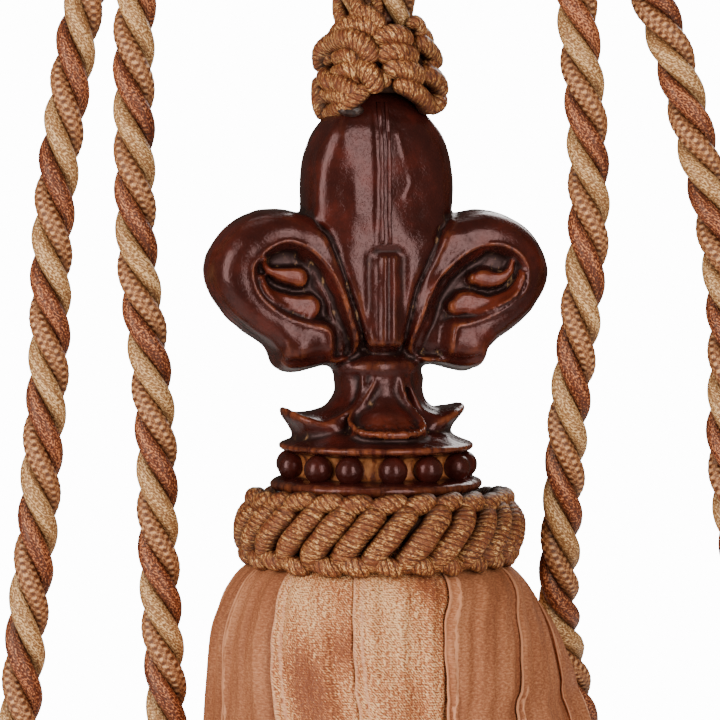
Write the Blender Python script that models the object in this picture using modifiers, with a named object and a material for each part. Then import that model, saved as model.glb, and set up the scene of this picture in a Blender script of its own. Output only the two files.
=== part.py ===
"""A curtain tieback tassel: two twisted cord loops, a fleur-de-lis finial, two cord knots and a ribbon skirt.

It hangs as it does before it is fitted. The origin is level with the top of the cord arches, over the
finial's axis, and +Z is up. The front of the tassel faces -Y.
"""

import math

import bmesh
import bpy
from mathutils import Matrix, Vector

MM = 0.001
GAP = 0.3  # left between pieces that touch, mm

# Driving dimensions, in mm.
FINIAL_BASE_Z = -138.8  # the underside of the finial's lower disc, where its heights start
FINIAL_TURN = math.radians(13)  # the finial is turned a little towards the right
LOWER_DISC_RADIUS = 24.1
UPPER_DISC_RADIUS = 22.2
BEAD_BAND_RADIUS = 18.4
BEAD_RADIUS = 2.85
BEAD_RING_RADIUS = 19.4
BEAD_COUNT = 14
BEAD_HEIGHT = 6.2
STEM_RADIUS = 22.7  # inside the collar; the ribbons are tied round it
STEM_DEPTH = 17.5

COLLAR_INNER_RADIUS = 27.3
COLLAR_STRANDS = 27
COLLAR_RELIEF = 1.0
COLLAR_LEAN = 0.38  # how the ridges slant, radians of their wave for each mm of height
COLLAR_TURN_BACK = -15.0  # below this height the ridges slant the other way

KNOT_TOP_Z = -35.0
KNOT_HEIGHT = 19.3
KNOT_LUMPS = 8  # lumps in each row round the knot
KNOT_ROWS = 4
KNOT_RELIEF = 1.8
KNOT_ARCH = 4.5  # how far its underside is lifted at the front and back
KNOT_SHIFT = 0.9  # its middle lies a little right of the finial's axis

CORD_DIAMETER = 9.5
CORD_PITCH = 27.0  # one turn of the three plies
STEPS_PER_TURN = 7
CORD_NECK = 0.86  # how far a cord is squeezed where it enters the knot
NECK_LENGTH = 14.0

RIBBON_COUNT = 13
RIBBON_THICKNESS = 1.0
RIBBON_OVERLAP = math.radians(2.4)
RIBBON_SHINGLE = 1.3  # each ribbon's left edge stands out by this, and its right edge in
RIBBON_START = math.radians(-8.3 - 90)  # the edge between the two front satin ribbons
SATIN = (-1, 0, 4, 5, 8, 9)  # which ribbons are satin, counted from that edge

# The middle petal: height above the finial's base, half width, half depth.
MIDDLE_PETAL = (
    (89.6, 4.2, 3.8),
    (86.8, 8.8, 6.8),
    (83.0, 12.8, 8.8),
    (79.2, 15.2, 10.0),
    (74.0, 16.8, 10.7),
    (67.5, 17.3, 10.9),
    (61.5, 16.6, 10.8),
    (57.5, 13.6, 10.6),
    (52.5, 10.8, 10.3),
    (47.0, 8.2, 10.0),
    (40.0, 6.2, 9.6),
    (33.0, 4.6, 8.8),
)
PETAL_TIP = 30.0
PETAL_TOP = 91.0

# The side petal's outline, from where it leaves the middle petal round its outer side: distance from
# the axis, height above the finial's base.
SIDE_PETAL = (
    (8.0, 61.0),
    (16.0, 62.4),
    (21.5, 63.7),
    (26.5, 63.5),
    (31.0, 62.0),
    (35.0, 59.0),
    (38.0, 55.0),
    (39.4, 50.8),
    (38.9, 46.8),
    (37.0, 43.2),
    (34.4, 39.6),
    (30.4, 36.2),
    (26.2, 33.4),
    (24.2, 31.2),
    (23.6, 29.0),
    (22.4, 27.4),
    (19.5, 26.9),
    (16.0, 27.6),
    (12.6, 28.4),
    (9.6, 28.4),
    (5.4, 30.4),
    (4.0, 36.0),
    (4.5, 44.0),
    (5.5, 53.0),
)
SIDE_PETAL_CENTRE = (20.5, 45.5)
SIDE_PETAL_DEPTH = 11.6
# Rings of the side petal: part of the way from its centre to its outline, part of the full depth.
SIDE_PETAL_RINGS = ((0.42, 0.92), (0.68, 1.0), (0.84, 0.86), (0.95, 0.56))

# The hollow in the side petal's face, the same way.
HOLLOW = (
    (31.2, 48.6),
    (30.0, 52.6),
    (27.0, 55.0),
    (23.0, 55.2),
    (18.8, 52.8),
    (15.4, 48.6),
    (12.4, 43.8),
    (9.6, 38.2),
    (8.4, 32.6),
    (11.6, 32.0),
    (14.2, 36.4),
    (20.5, 38.2),
    (26.4, 40.9),
    (30.2, 44.6),
)
HOLLOW_FLOOR = 7.0  # how far its floor lies from the middle plane

# The two leaves in the hollow, joined at their outer end: distance from the axis, height, radius.
UPPER_LEAF = ((18.6, 47.6, 1.9), (21.4, 48.7, 2.3), (25.0, 48.4, 2.0), (28.4, 48.6, 1.3))
LOWER_LEAF = (
    (14.9, 40.3, 1.8),
    (18.2, 41.8, 2.5),
    (22.4, 43.1, 2.1),
    (26.4, 45.0, 1.5),
    (28.9, 47.6, 1.2),
    (28.4, 51.2, 1.0),
    (25.6, 53.2, 0.8),
)
LEAF_DEPTH = 8.2

# The neck and the four leaves that flare below it: height, radius between the leaves, radius at a
# leaf's middle, and how far the leaf's middle is lifted there.
FLARE = (
    (34.0, 6.0, 6.0, 0.0),
    (30.4, 8.8, 8.8, 0.0),
    (29.2, 10.3, 10.3, 0.0),
    (27.4, 10.3, 10.3, 0.0),
    (26.2, 9.2, 9.8, 0.0),
    (23.0, 9.2, 10.8, -0.4),
    (20.0, 9.8, 13.4, -1.5),
    (17.5, 11.0, 17.0, -0.3),
    (15.6, 12.6, 19.6, 2.8),
    (14.6, 13.8, 21.0, 4.0),
    (13.8, 14.8, 21.2, 3.2),
    (12.6, 16.0, 20.0, 1.6),
    (11.0, 17.0, 17.6, 0.0),
)

# The collar's section, once round: radius and height above the finial's base.
COLLAR_SECTION = (
    (27.3, -0.6),
    (29.4, -1.2),
    (31.8, -3.6),
    (32.6, -7.4),
    (32.6, -11.6),
    (31.9, -15.6),
    (31.0, -18.4),
    (29.8, -19.0),
    (27.3, -13.0),
)

# The upper knot's outer profile under its lumps: share of its height from its lower rim, radius.
KNOT_PROFILE = ((0.0, 12.4), (0.25, 13.4), (0.5, 13.2), (0.75, 11.8), (1.0, 9.8))

# The skirt: height above the finial's base, radius, how far its middle lies right of the axis.
SKIRT = (
    (-9.0, 25.0, 0.0),
    (-16.0, 25.0, 0.0),
    (-19.8, 26.4, 0.1),
    (-22.0, 30.6, 0.3),
    (-24.6, 34.4, 0.7),
    (-30.6, 37.6, 1.3),
    (-40.0, 39.9, 2.7),
    (-51.0, 42.6, 4.6),
    (-70.0, 45.2, 5.8),
    (-105.0, 47.2, 6.2),
    (-142.0, 48.0, 6.2),
    (-175.0, 48.6, 6.0),
)
RIBBON_COLUMNS = 5
RIBBON_BOW = 1.2  # how far a ribbon's middle stands out from its edges
RIBBON_RIPPLE = 0.7
RIBBON_OPENING = 40.0  # the bow and ripple grow over this length from the top
HEM_UNEVEN = 1.6  # how far one ribbon's end hangs above or below another's

# The loops' routes, from the left or front place in the upper knot to the other place of that side.
LEFT_LOOP = (
    (-4.3, -4.3, -34.6),
    (-5.2, -4.4, -24.0),
    (-10.6, -4.4, -12.8),
    (-21.0, -4.2, -6.2),
    (-33.6, -3.8, -5.4),
    (-45.0, -3.2, -10.6),
    (-52.0, -2.4, -20.6),
    (-53.9, -2.0, -34.0),
    (-54.1, -1.6, -58.0),
    (-53.6, -0.6, -86.0),
    (-51.0, 0.0, -109.0),
    (-49.5, 0.0, -130.0),
    (-49.2, 0.0, -150.6),
    (-48.4, 0.0, -168.6),
    (-47.4, 0.0, -190.2),
    (-48.4, 0.0, -212.0),
    (-52.8, 0.0, -232.0),
    (-61.4, 0.0, -244.0),
    (-72.4, 0.0, -243.4),
    (-80.2, 0.0, -231.0),
    (-82.4, 0.0, -212.0),
    (-80.6, 0.0, -190.2),
    (-78.8, 0.0, -167.4),
    (-76.5, 0.0, -147.9),
    (-75.2, 0.0, -129.9),
    (-73.7, 0.4, -109.2),
    (-73.0, 1.0, -84.0),
    (-71.3, 1.8, -64.3),
    (-68.8, 2.8, -46.7),
    (-65.4, 3.4, -27.9),
    (-58.2, 3.8, -12.6),
    (-46.0, 4.2, -1.8),
    (-31.0, 4.4, 0.6),
    (-17.0, 4.5, -5.2),
    (-7.4, 4.5, -17.0),
    (-4.6, 4.4, -26.0),
    (-4.3, 4.3, -34.6),
)
RIGHT_LOOP = (
    (4.3, -4.3, -34.6),
    (5.0, -4.4, -24.0),
    (10.0, -4.4, -12.4),
    (19.6, -4.2, -6.8),
    (30.4, -3.8, -7.8),
    (39.4, -3.2, -14.6),
    (43.8, -2.4, -24.6),
    (45.7, -1.8, -41.1),
    (47.3, -0.8, -59.2),
    (47.7, 0.0, -80.0),
    (45.9, 0.2, -100.4),
    (43.8, 3.4, -121.0),
    (42.9, 7.0, -140.0),
    (42.4, 11.4, -156.0),
    (42.8, 17.0, -167.0),
    (44.2, 22.6, -176.0),
    (46.4, 26.8, -186.0),
    (48.8, 29.2, -197.0),
    (53.0, 28.8, -211.0),
    (60.6, 22.8, -227.6),
    (70.8, 15.0, -240.6),
    (82.6, 9.4, -242.0),
    (91.6, 6.0, -230.4),
    (94.6, 4.6, -212.0),
    (92.6, 3.4, -194.0),
    (88.2, 1.8, -176.0),
    (84.6, 0.6, -162.0),
    (81.2, 0.0, -146.4),
    (79.2, 0.0, -128.0),
    (79.4, 0.0, -112.3),
    (78.9, 0.4, -97.0),
    (76.6, 1.0, -79.0),
    (72.4, 1.8, -61.6),
    (67.4, 2.6, -42.6),
    (62.0, 3.4, -27.6),
    (54.2, 3.8, -12.6),
    (42.4, 4.2, -1.6),
    (28.4, 4.4, 0.6),
    (15.6, 4.5, -5.6),
    (7.0, 4.5, -17.0),
    (4.6, 4.4, -26.0),
    (4.3, 4.3, -34.6),
)


def clear_scene():
    for scene_object in list(bpy.data.objects):
        bpy.data.objects.remove(scene_object, do_unlink=True)


def new_collection(name):
    collection = bpy.data.collections.new(name)
    bpy.context.scene.collection.children.link(collection)
    return collection


def material(name, colour, roughness, metallic=0.0):
    made = bpy.data.materials.new(name)
    made.use_nodes = True
    shader = made.node_tree.nodes["Principled BSDF"]
    shader.inputs["Base Color"].default_value = (*colour, 1.0)
    shader.inputs["Roughness"].default_value = roughness
    shader.inputs["Metallic"].default_value = metallic
    made.diffuse_color = (*colour, 1.0)
    return made


def place(mesh, name, collection, surface=None):
    """A new object that holds the mesh, shaded smooth but for its real edges."""
    made = bpy.data.objects.new(name, mesh)
    collection.objects.link(made)
    if surface:
        mesh.materials.append(surface)
    mesh.shade_smooth()
    mesh.set_sharp_from_angle(angle=math.radians(50))
    return made


def as_helper(helper):
    helper.hide_render = True
    helper.display_type = "WIRE"
    return helper


def finial_point(x, y, height):
    """A point in metres from mm measured on the unturned finial: across, deep, above its base."""
    return Matrix.Rotation(FINIAL_TURN, 3, "Z") @ (Vector((x, y, height + FINIAL_BASE_Z)) * MM)


def loft(name, rings, wrap=False):
    """A closed mesh through the rings, whose first and last may be a single point. With wrap, the
    last ring joins the first."""
    shape = bmesh.new()
    rows = [[shape.verts.new(point) for point in ring] for ring in rings]
    pairs = list(zip(rows, rows[1:]))
    if wrap:
        pairs.append((rows[-1], rows[0]))
    for first, second in pairs:
        sides = max(len(first), len(second))
        for side in range(sides):
            after = (side + 1) % sides
            if len(first) == 1:
                shape.faces.new((first[0], second[after], second[side]))
            elif len(second) == 1:
                shape.faces.new((first[side], first[after], second[0]))
            else:
                shape.faces.new((first[side], first[after], second[after], second[side]))
    for row in (rows[0], rows[-1]):
        if len(row) > 1 and not wrap:
            shape.faces.new(row)
    bmesh.ops.recalc_face_normals(shape, faces=shape.faces)
    mesh = bpy.data.meshes.new(name)
    shape.to_mesh(mesh)
    shape.free()
    return mesh


def mesh_of(curve_object):
    """The curve as an object that holds a welded mesh. The curve is removed."""
    graph = bpy.context.evaluated_depsgraph_get()
    mesh = bpy.data.meshes.new_from_object(curve_object.evaluated_get(graph))
    shape = bmesh.new()
    shape.from_mesh(mesh)
    bmesh.ops.remove_doubles(shape, verts=shape.verts, dist=0.01 * MM)
    bmesh.ops.recalc_face_normals(shape, faces=shape.faces)
    shape.to_mesh(mesh)
    shape.free()
    collection = curve_object.users_collection[0]
    name = curve_object.name
    bpy.data.objects.remove(curve_object, do_unlink=True)
    return place(mesh, name, collection)


def lens(name, outline, centre, rings, depth, mirror):
    """A pillow-like solid on an outline in the finial's plane, the same on its front and back."""
    across, up = centre

    def ring(share, part, side):
        return [
            finial_point(
                mirror * (across + (x - across) * share),
                side * depth * part,
                up + (height - up) * share,
            )
            for x, height in outline
        ]

    inner = rings[0][1] * 0.99
    rows = [[finial_point(mirror * across, -depth * inner, up)]]
    rows += [ring(share, part, -1) for share, part in rings]
    rows.append(ring(1.0, 0.0, 1))
    rows += [ring(share, part, 1) for share, part in reversed(rings)]
    rows.append([finial_point(mirror * across, depth * inner, up)])
    return loft(name, rows)


def between(table, where):
    """The table's second column at a value of its first, on straight lines between its rows."""
    for (start, first), (end, second) in zip(table, table[1:]):
        if where <= end:
            return first + (second - first) * (where - start) / (end - start)
    return table[-1][1]


def middle_petal(name, spread=0.0):
    """The tall petal, a raised rib down its front and back. spread makes it larger all round, as a
    cutter of the same shape."""
    sides = 20
    rows = [[finial_point(0, 0, PETAL_TOP + spread)]]
    for height, half_width, half_depth in MIDDLE_PETAL:
        row = []
        for side in range(sides):
            angle = math.tau * side / sides
            rib = 0.7 if side in (sides // 4, 3 * sides // 4) and height > PETAL_TIP else 0.0
            x = (half_width + spread) * math.cos(angle)
            y = (half_depth + rib + spread) * math.sin(angle)
            row.append(finial_point(x, y, height))
        rows.append(row)
    rows.append([finial_point(0, 0, PETAL_TIP - spread)])
    return loft(name, rows)


def hollow_cutter(name, mirror, side):
    """Cuts the hollow into one face of a side petal."""
    far = side * (SIDE_PETAL_DEPTH + 4)
    near = side * HOLLOW_FLOOR
    rows = [[finial_point(mirror * x, y, height) for x, height in HOLLOW] for y in (far, near)]
    return loft(name, rows)


def leaf(name, points, mirror, side, collection):
    """A rounded leaf that lies in the hollow: a curve whose radius follows the leaf's width."""
    curve = bpy.data.curves.new(name, "CURVE")
    curve.dimensions = "3D"
    curve.bevel_depth = MM
    curve.bevel_resolution = 1
    curve.use_fill_caps = True
    spline = curve.splines.new("POLY")
    spline.points.add(len(points) - 1)
    for point, (x, height, radius) in zip(spline.points, points):
        point.co = (*finial_point(mirror * x, side * LEAF_DEPTH, height), 1)
        point.radius = radius
    made = bpy.data.objects.new(name, curve)
    collection.objects.link(made)
    return mesh_of(made)


def flare(name):
    """The neck ring and the four leaves that curl out below it."""
    sides = 32
    rows = []
    for height, low, high, lift in FLARE:
        row = []
        for side in range(sides):
            angle = math.tau * side / sides
            leaf_share = abs(math.cos(2 * angle)) ** 1.5 if math.cos(2 * angle) > 0 else 0.0
            leaf_share = max(leaf_share, abs(math.sin(angle)) ** 8)
            radius = low + (high - low) * leaf_share
            x = radius * math.cos(angle)
            y = radius * math.sin(angle)
            row.append(finial_point(x, y, height + lift * leaf_share))
        rows.append(row)
    return loft(name, rows)


def turned(name, profile, segments, collection):
    """A body turned round the finial's axis from a profile of radius and height, top to bottom."""
    mesh = bpy.data.meshes.new(name)
    points = [(radius * MM, 0, (height + FINIAL_BASE_Z) * MM) for radius, height in profile]
    mesh.from_pydata(points, [(i, i + 1) for i in range(len(points) - 1)], [])
    made = bpy.data.objects.new(name, mesh)
    collection.objects.link(made)
    screw = made.modifiers.new("turn", "SCREW")
    screw.axis = "Z"
    screw.steps = segments
    screw.render_steps = segments
    screw.use_merge_vertices = True
    screw.merge_threshold = 0.0001
    return made


def base_profile():
    """The discs, the band between them and the stem inside the collar."""
    return (
        (0.0, 13.2),
        (17.4, 13.0),
        (UPPER_DISC_RADIUS - 0.6, 12.4),
        (UPPER_DISC_RADIUS, 11.2),
        (UPPER_DISC_RADIUS - 0.4, 9.9),
        (BEAD_BAND_RADIUS, 9.2),
        (BEAD_BAND_RADIUS, 3.6),
        (LOWER_DISC_RADIUS - 1.2, 3.1),
        (LOWER_DISC_RADIUS, 1.8),
        (LOWER_DISC_RADIUS - 0.2, 0.0),
        (STEM_RADIUS, -0.6),
        (STEM_RADIUS, -STEM_DEPTH),
        (0.0, -STEM_DEPTH),
    )


def bead(name, number, collection):
    angle = math.tau * (number + 0.39) / BEAD_COUNT - math.pi / 2
    shape = bmesh.new()
    bmesh.ops.create_uvsphere(shape, u_segments=8, v_segments=5, radius=BEAD_RADIUS * MM)
    mesh = bpy.data.meshes.new(name)
    shape.to_mesh(mesh)
    shape.free()
    made = place(mesh, name, collection)
    x = BEAD_RING_RADIUS * math.cos(angle)
    y = BEAD_RING_RADIUS * math.sin(angle)
    made.location = Vector((x, y, BEAD_HEIGHT + FINIAL_BASE_Z)) * MM
    return made


def join(body, others, operation="UNION"):
    for other in others:
        boolean = body.modifiers.new(f"{operation.lower()} {other.name}", "BOOLEAN")
        boolean.operation = operation
        boolean.object = as_helper(other)


def side_petal(name, mirror, helpers):
    """One side petal, a hollow with its two leaves in each face."""
    petal = place(
        lens(name, SIDE_PETAL, SIDE_PETAL_CENTRE, SIDE_PETAL_RINGS, SIDE_PETAL_DEPTH, mirror),
        name,
        helpers,
    )
    for side, face in ((-1, "front"), (1, "back")):
        cutter = place(hollow_cutter(f"{name}_hollow_{face}", mirror, side), f"{name}_hollow_{face}", helpers)
        join(petal, [cutter], "DIFFERENCE")
        upper = leaf(f"{name}_upper_leaf_{face}", UPPER_LEAF, mirror, side, helpers)
        lower = leaf(f"{name}_lower_leaf_{face}", LOWER_LEAF, mirror, side, helpers)
        join(petal, [upper, lower])
    return petal


def finial(collection, helpers, surface):
    """The moulded finial, one piece: discs, beads, flared leaves and the fleur-de-lis."""
    body = turned("finial", base_profile(), 40, collection)
    body.data.materials.append(surface)
    body.data.shade_smooth()
    others = [
        place(flare("neck_and_leaves"), "neck_and_leaves", helpers),
        side_petal("left_petal", -1, helpers),
        side_petal("right_petal", 1, helpers),
        place(middle_petal("middle_petal"), "middle_petal", helpers),
    ]
    others += [bead(f"bead_{number + 1}", number, helpers) for number in range(BEAD_COUNT)]
    join(body, others)
    return body


def collar(collection, surface):
    """The knotted ring round the ribbons' tops, its strands raised as slanting ridges."""
    steps = COLLAR_STRANDS * 4
    rows = []
    for radius, height in COLLAR_SECTION:
        row = []
        for step in range(steps):
            angle = math.tau * step / steps
            upper = max(height, COLLAR_TURN_BACK)
            lean = COLLAR_LEAN * (2 * upper - height - COLLAR_TURN_BACK)
            ridge = COLLAR_RELIEF * math.cos(COLLAR_STRANDS * angle - lean)
            reach = radius + (ridge if radius > COLLAR_INNER_RADIUS else 0.0)
            x = reach * math.cos(angle)
            y = reach * math.sin(angle)
            row.append(Vector((x, y, height + FINIAL_BASE_Z)) * MM)
        rows.append(row)
    return place(loft("collar", rows, wrap=True), "collar", collection, surface)


def top_knot(collection, helpers, surface):
    """The knot over the finial's top: rows of rounded lumps, set like bricks. Underneath it arches up
    at its front and back, and it is cut to the middle petal's shape."""
    steps = KNOT_LUMPS * 4
    last = 2 * KNOT_ROWS
    rows = []
    for level in range(last + 1):
        share = level / last
        row = []
        for step in range(steps):
            angle = math.tau * step / steps
            if level % 2:
                offset = math.pi * (level // 2 % 2)
                lump = 0.5 + 0.5 * math.cos(KNOT_LUMPS * angle + offset)
            else:
                lump = 0.0
            reach = between(KNOT_PROFILE, share) + KNOT_RELIEF * lump
            x = reach * math.cos(angle) + KNOT_SHIFT
            y = reach * math.sin(angle)
            lift = KNOT_ARCH * (1 - share) * math.sin(angle) ** 2
            row.append(Vector((x, y, KNOT_TOP_Z - KNOT_HEIGHT * (1 - share) + lift)) * MM)
        rows.append(row)
    made = place(loft("top_knot", rows), "top_knot", collection, surface)
    cutter = place(middle_petal("knot_seat", spread=GAP + 0.1), "knot_seat", helpers)
    join(made, [cutter], "DIFFERENCE")
    return made


def smooth_route(points, spacing):
    """Evenly spaced points, and how far along each is, on a smooth curve through the given points."""
    given = [Vector(point) for point in points]
    fine = []
    last = len(given) - 1
    for i in range(last):
        before = given[max(i - 1, 0)]
        start = given[i]
        end = given[i + 1]
        after = given[min(i + 2, last)]
        for part in range(12):
            t = part / 12
            fine.append(
                0.5
                * (
                    2 * start
                    + (end - before) * t
                    + (2 * before - 5 * start + 4 * end - after) * t * t
                    + (3 * start - before - 3 * end + after) * t * t * t
                )
            )
    fine.append(given[-1])
    reached = [0.0]
    for first, second in zip(fine, fine[1:]):
        reached.append(reached[-1] + (second - first).length)
    count = max(2, round(reached[-1] / spacing))
    route = []
    i = 0
    for step in range(count + 1):
        want = reached[-1] * step / count
        while i < len(fine) - 2 and reached[i + 1] < want:
            i += 1
        share = (want - reached[i]) / (reached[i + 1] - reached[i])
        route.append((fine[i].lerp(fine[i + 1], share), want))
    return route, reached[-1]


def cord_section(helpers):
    """The section of a cord of three plies, as a closed curve that the route is beveled with."""
    curve = bpy.data.curves.new("cord_section", "CURVE")
    curve.dimensions = "2D"
    spline = curve.splines.new("POLY")
    spline.points.add(8)
    radius = CORD_DIAMETER / 2
    for ply in range(3):
        middle = math.tau * ply / 3
        corners = ((-0.42, 1.0), (0.42, 1.0), (math.pi / 3, 0.66))
        for corner, (turn, share) in enumerate(corners):
            reach = radius * share * MM
            angle = -middle - turn  # clockwise, so that the caps face out
            spline.points[ply * 3 + corner].co = (reach * math.cos(angle), reach * math.sin(angle), 0, 1)
    spline.use_cyclic_u = True
    section = bpy.data.objects.new("cord_section", curve)
    helpers.objects.link(section)
    return as_helper(section)


def cord_loop(name, points, section, collection, surface):
    """A twisted cord from the upper knot round a hanging loop and back into the knot."""
    route, length = smooth_route(points, CORD_PITCH / STEPS_PER_TURN)
    curve = bpy.data.curves.new(name, "CURVE")
    curve.dimensions = "3D"
    curve.bevel_mode = "OBJECT"
    curve.bevel_object = section
    curve.use_fill_caps = True
    curve.twist_mode = "MINIMUM"
    spline = curve.splines.new("POLY")
    spline.points.add(len(route) - 1)
    for point, (where, along) in zip(spline.points, route):
        point.co = (*(where * MM), 1)
        point.tilt = -math.tau * along / CORD_PITCH
        end = min(along, length - along)
        point.radius = CORD_NECK + (1 - CORD_NECK) * min(1.0, end / NECK_LENGTH)
    curve.materials.append(surface)
    made = bpy.data.objects.new(name, curve)
    collection.objects.link(made)
    return made


def ribbon(name, number, collection, surface):
    """One ribbon of the skirt: a strip that bows out, laps over the next one and opens downwards."""
    pitch = math.tau / RIBBON_COUNT
    first = RIBBON_START + number * pitch - RIBBON_OVERLAP / 2
    last = first + pitch + RIBBON_OVERLAP
    shape = bmesh.new()
    rows = len(SKIRT) - 1
    bmesh.ops.create_grid(shape, x_segments=RIBBON_COLUMNS, y_segments=rows, size=1.0)
    for vert in shape.verts:
        across = (vert.co.x + 1) / 2
        down = (1 - vert.co.y) / 2
        height, radius, shift = SKIRT[round(down * rows)]
        angle = first + (last - first) * across
        opened = min(1.0, (SKIRT[0][0] - height) / RIBBON_OPENING)
        inside = opened * math.sin(math.pi * across) ** 2
        bow = RIBBON_BOW * (1 + 0.4 * math.sin(2.3 * number)) * inside
        ripple = RIBBON_RIPPLE * inside * math.sin(2.4 * math.pi * across + 1.9 * number)
        lap = RIBBON_SHINGLE * (1 - 2 * across)
        reach = radius + bow + ripple + lap
        x = reach * math.cos(angle) + shift
        y = reach * math.sin(angle)
        hem = HEM_UNEVEN * down**4 * math.sin(1.7 * number)
        vert.co = Vector((x, y, height + hem + FINIAL_BASE_Z)) * MM
    bmesh.ops.recalc_face_normals(shape, faces=shape.faces)
    mesh = bpy.data.meshes.new(name)
    shape.to_mesh(mesh)
    shape.free()
    made = place(mesh, name, collection, surface)
    solidify = made.modifiers.new("cloth", "SOLIDIFY")
    solidify.thickness = RIBBON_THICKNESS * MM
    solidify.offset = 0.0
    return made


def skirt(collection, satin, organza):
    counts = {"satin": 0, "organza": 0}
    for number in range(-1, RIBBON_COUNT - 1):
        kind = "satin" if number in SATIN else "organza"
        counts[kind] += 1
        ribbon(f"{kind}_ribbon_{counts[kind]}", number, collection, satin if kind == "satin" else organza)


def main():
    clear_scene()
    parts = new_collection("tieback_tassel")
    helpers = new_collection("cutters")
    helpers.hide_render = True
    wood = material("mahogany_lacquer", (0.075, 0.012, 0.008), 0.28)
    gimp = material("mottled_gimp", (0.42, 0.22, 0.10), 0.75)
    cord = material("twisted_cord", (0.45, 0.20, 0.10), 0.7)
    satin = material("satin_ribbon", (0.66, 0.36, 0.23), 0.35)
    organza = material("organza_ribbon", (0.46, 0.22, 0.13), 0.6)
    finial(parts, helpers, wood)
    collar(parts, gimp)
    top_knot(parts, helpers, gimp)
    section = cord_section(helpers)
    cord_loop("left_loop", LEFT_LOOP, section, parts, cord)
    cord_loop("right_loop", RIGHT_LOOP, section, parts, cord)
    skirt(parts, satin, organza)


main()
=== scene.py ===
"""The looks of a curtain tieback tassel: cords, knots, finial and ribbon skirt, dressed on its solids.

Lengths are in millimetres until a mesh is made. The front of the tassel faces -Y.
"""

import math

import bmesh
import bpy
import numpy as np
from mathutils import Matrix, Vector

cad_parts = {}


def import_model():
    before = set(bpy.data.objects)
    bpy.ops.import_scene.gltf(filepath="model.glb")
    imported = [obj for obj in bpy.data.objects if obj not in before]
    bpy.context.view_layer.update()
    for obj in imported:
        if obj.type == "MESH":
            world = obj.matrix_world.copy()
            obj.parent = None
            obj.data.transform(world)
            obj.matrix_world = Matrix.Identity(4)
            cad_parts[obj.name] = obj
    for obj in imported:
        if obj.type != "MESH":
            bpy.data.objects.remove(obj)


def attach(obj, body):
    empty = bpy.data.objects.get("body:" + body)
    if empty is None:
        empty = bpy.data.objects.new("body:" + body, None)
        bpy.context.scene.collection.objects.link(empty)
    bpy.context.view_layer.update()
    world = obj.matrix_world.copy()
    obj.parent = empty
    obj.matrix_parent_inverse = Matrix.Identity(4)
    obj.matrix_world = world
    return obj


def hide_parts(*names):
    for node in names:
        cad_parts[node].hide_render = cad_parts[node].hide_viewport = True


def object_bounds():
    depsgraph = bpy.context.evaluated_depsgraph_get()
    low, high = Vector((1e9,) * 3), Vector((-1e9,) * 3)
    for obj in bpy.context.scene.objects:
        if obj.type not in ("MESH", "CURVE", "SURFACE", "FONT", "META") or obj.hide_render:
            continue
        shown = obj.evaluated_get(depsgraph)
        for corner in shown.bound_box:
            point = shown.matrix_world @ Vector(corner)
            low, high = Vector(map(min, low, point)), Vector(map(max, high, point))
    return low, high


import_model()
cad_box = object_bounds()

MM = 0.001
TAU = math.tau
BASE_Z = -138.8  # the underside of the finial's lower disc


# ---------------------------------------------------------------- curves

def smoothstep(low, high, value):
    share = np.clip((value - low) / (high - low), 0, 1)
    return share * share * (3 - 2 * share)


def hill(distance, width):
    return np.exp(-((distance / width) ** 2))


def unit(vectors):
    return vectors / np.maximum(np.linalg.norm(vectors, axis=-1, keepdims=True), 1e-9)


def angles(count):
    return TAU * np.arange(count) / count


def side_by_side(*columns):
    return np.stack(np.broadcast_arrays(*columns), -1)


def polar(radius, angle, height, shift=0.0):
    """Points from their distance from an upright axis, which may stand to the right, turn and height."""
    return side_by_side(radius * np.cos(angle) + shift, radius * np.sin(angle), height)


def spline(padded, steps):
    """Points on a smooth curve through all the given points but the first and the last."""
    t = np.linspace(0, 1, steps, endpoint=False)[:, None]
    return np.concatenate([
        0.5 * (2 * start + (end - before) * t + (2 * before - 5 * start + 4 * end - after) * t**2
               + (3 * start - before - 3 * end + after) * t**3)
        for before, start, end, after in zip(padded, padded[1:], padded[2:], padded[3:])
    ])


def curve_through(points, steps=6, closed=False):
    """More points, on a smooth curve through the given ones, in any number of columns."""
    given = np.array(points, float)
    if closed:
        return spline(np.concatenate([given[-1:], given, given[:2]]), steps)
    before, after = 2 * given[:1] - given[1:2], 2 * given[-1:] - given[-2:-1]
    return np.concatenate([spline(np.concatenate([before, given, after]), steps), given[-1:]])


def lengths_along(points):
    """How far along a line each of its points is."""
    return np.concatenate([[0], np.cumsum(np.linalg.norm(np.diff(points, axis=0), axis=1))])


def read_off(places, known, table):
    """A table's columns at other places than the known ones."""
    return np.stack([np.interp(places, known, column) for column in table.T], -1)


def smooth_route(points, spacing):
    """Evenly spaced points on a smooth curve through the given points, and how far along each is."""
    given = np.array(points, float)
    fine = spline(np.concatenate([given[:1], given, given[-1:]]), 12)
    fine = np.concatenate([fine, given[-1:]])
    reached = lengths_along(fine)
    along = np.linspace(0, reached[-1], max(2, round(reached[-1] / spacing)) + 1)
    return read_off(along, reached, fine), along


def normals_along(path, start):
    """For each point of a path two normals that don't turn about it. The first of them starts nearest
    to the given direction."""
    ahead = unit(np.gradient(path, axis=0))
    normal = np.array(start, float)
    normals = []
    for direction in ahead:
        normal = normal - direction * normal.dot(direction)
        if normal.dot(normal) < 1e-12:
            normal = np.cross(direction, (0.3, 0.9, 0.2))
        normal = unit(normal)
        normals.append(normal)
    normals = np.array(normals)
    return normals, np.cross(ahead, normals)


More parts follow.
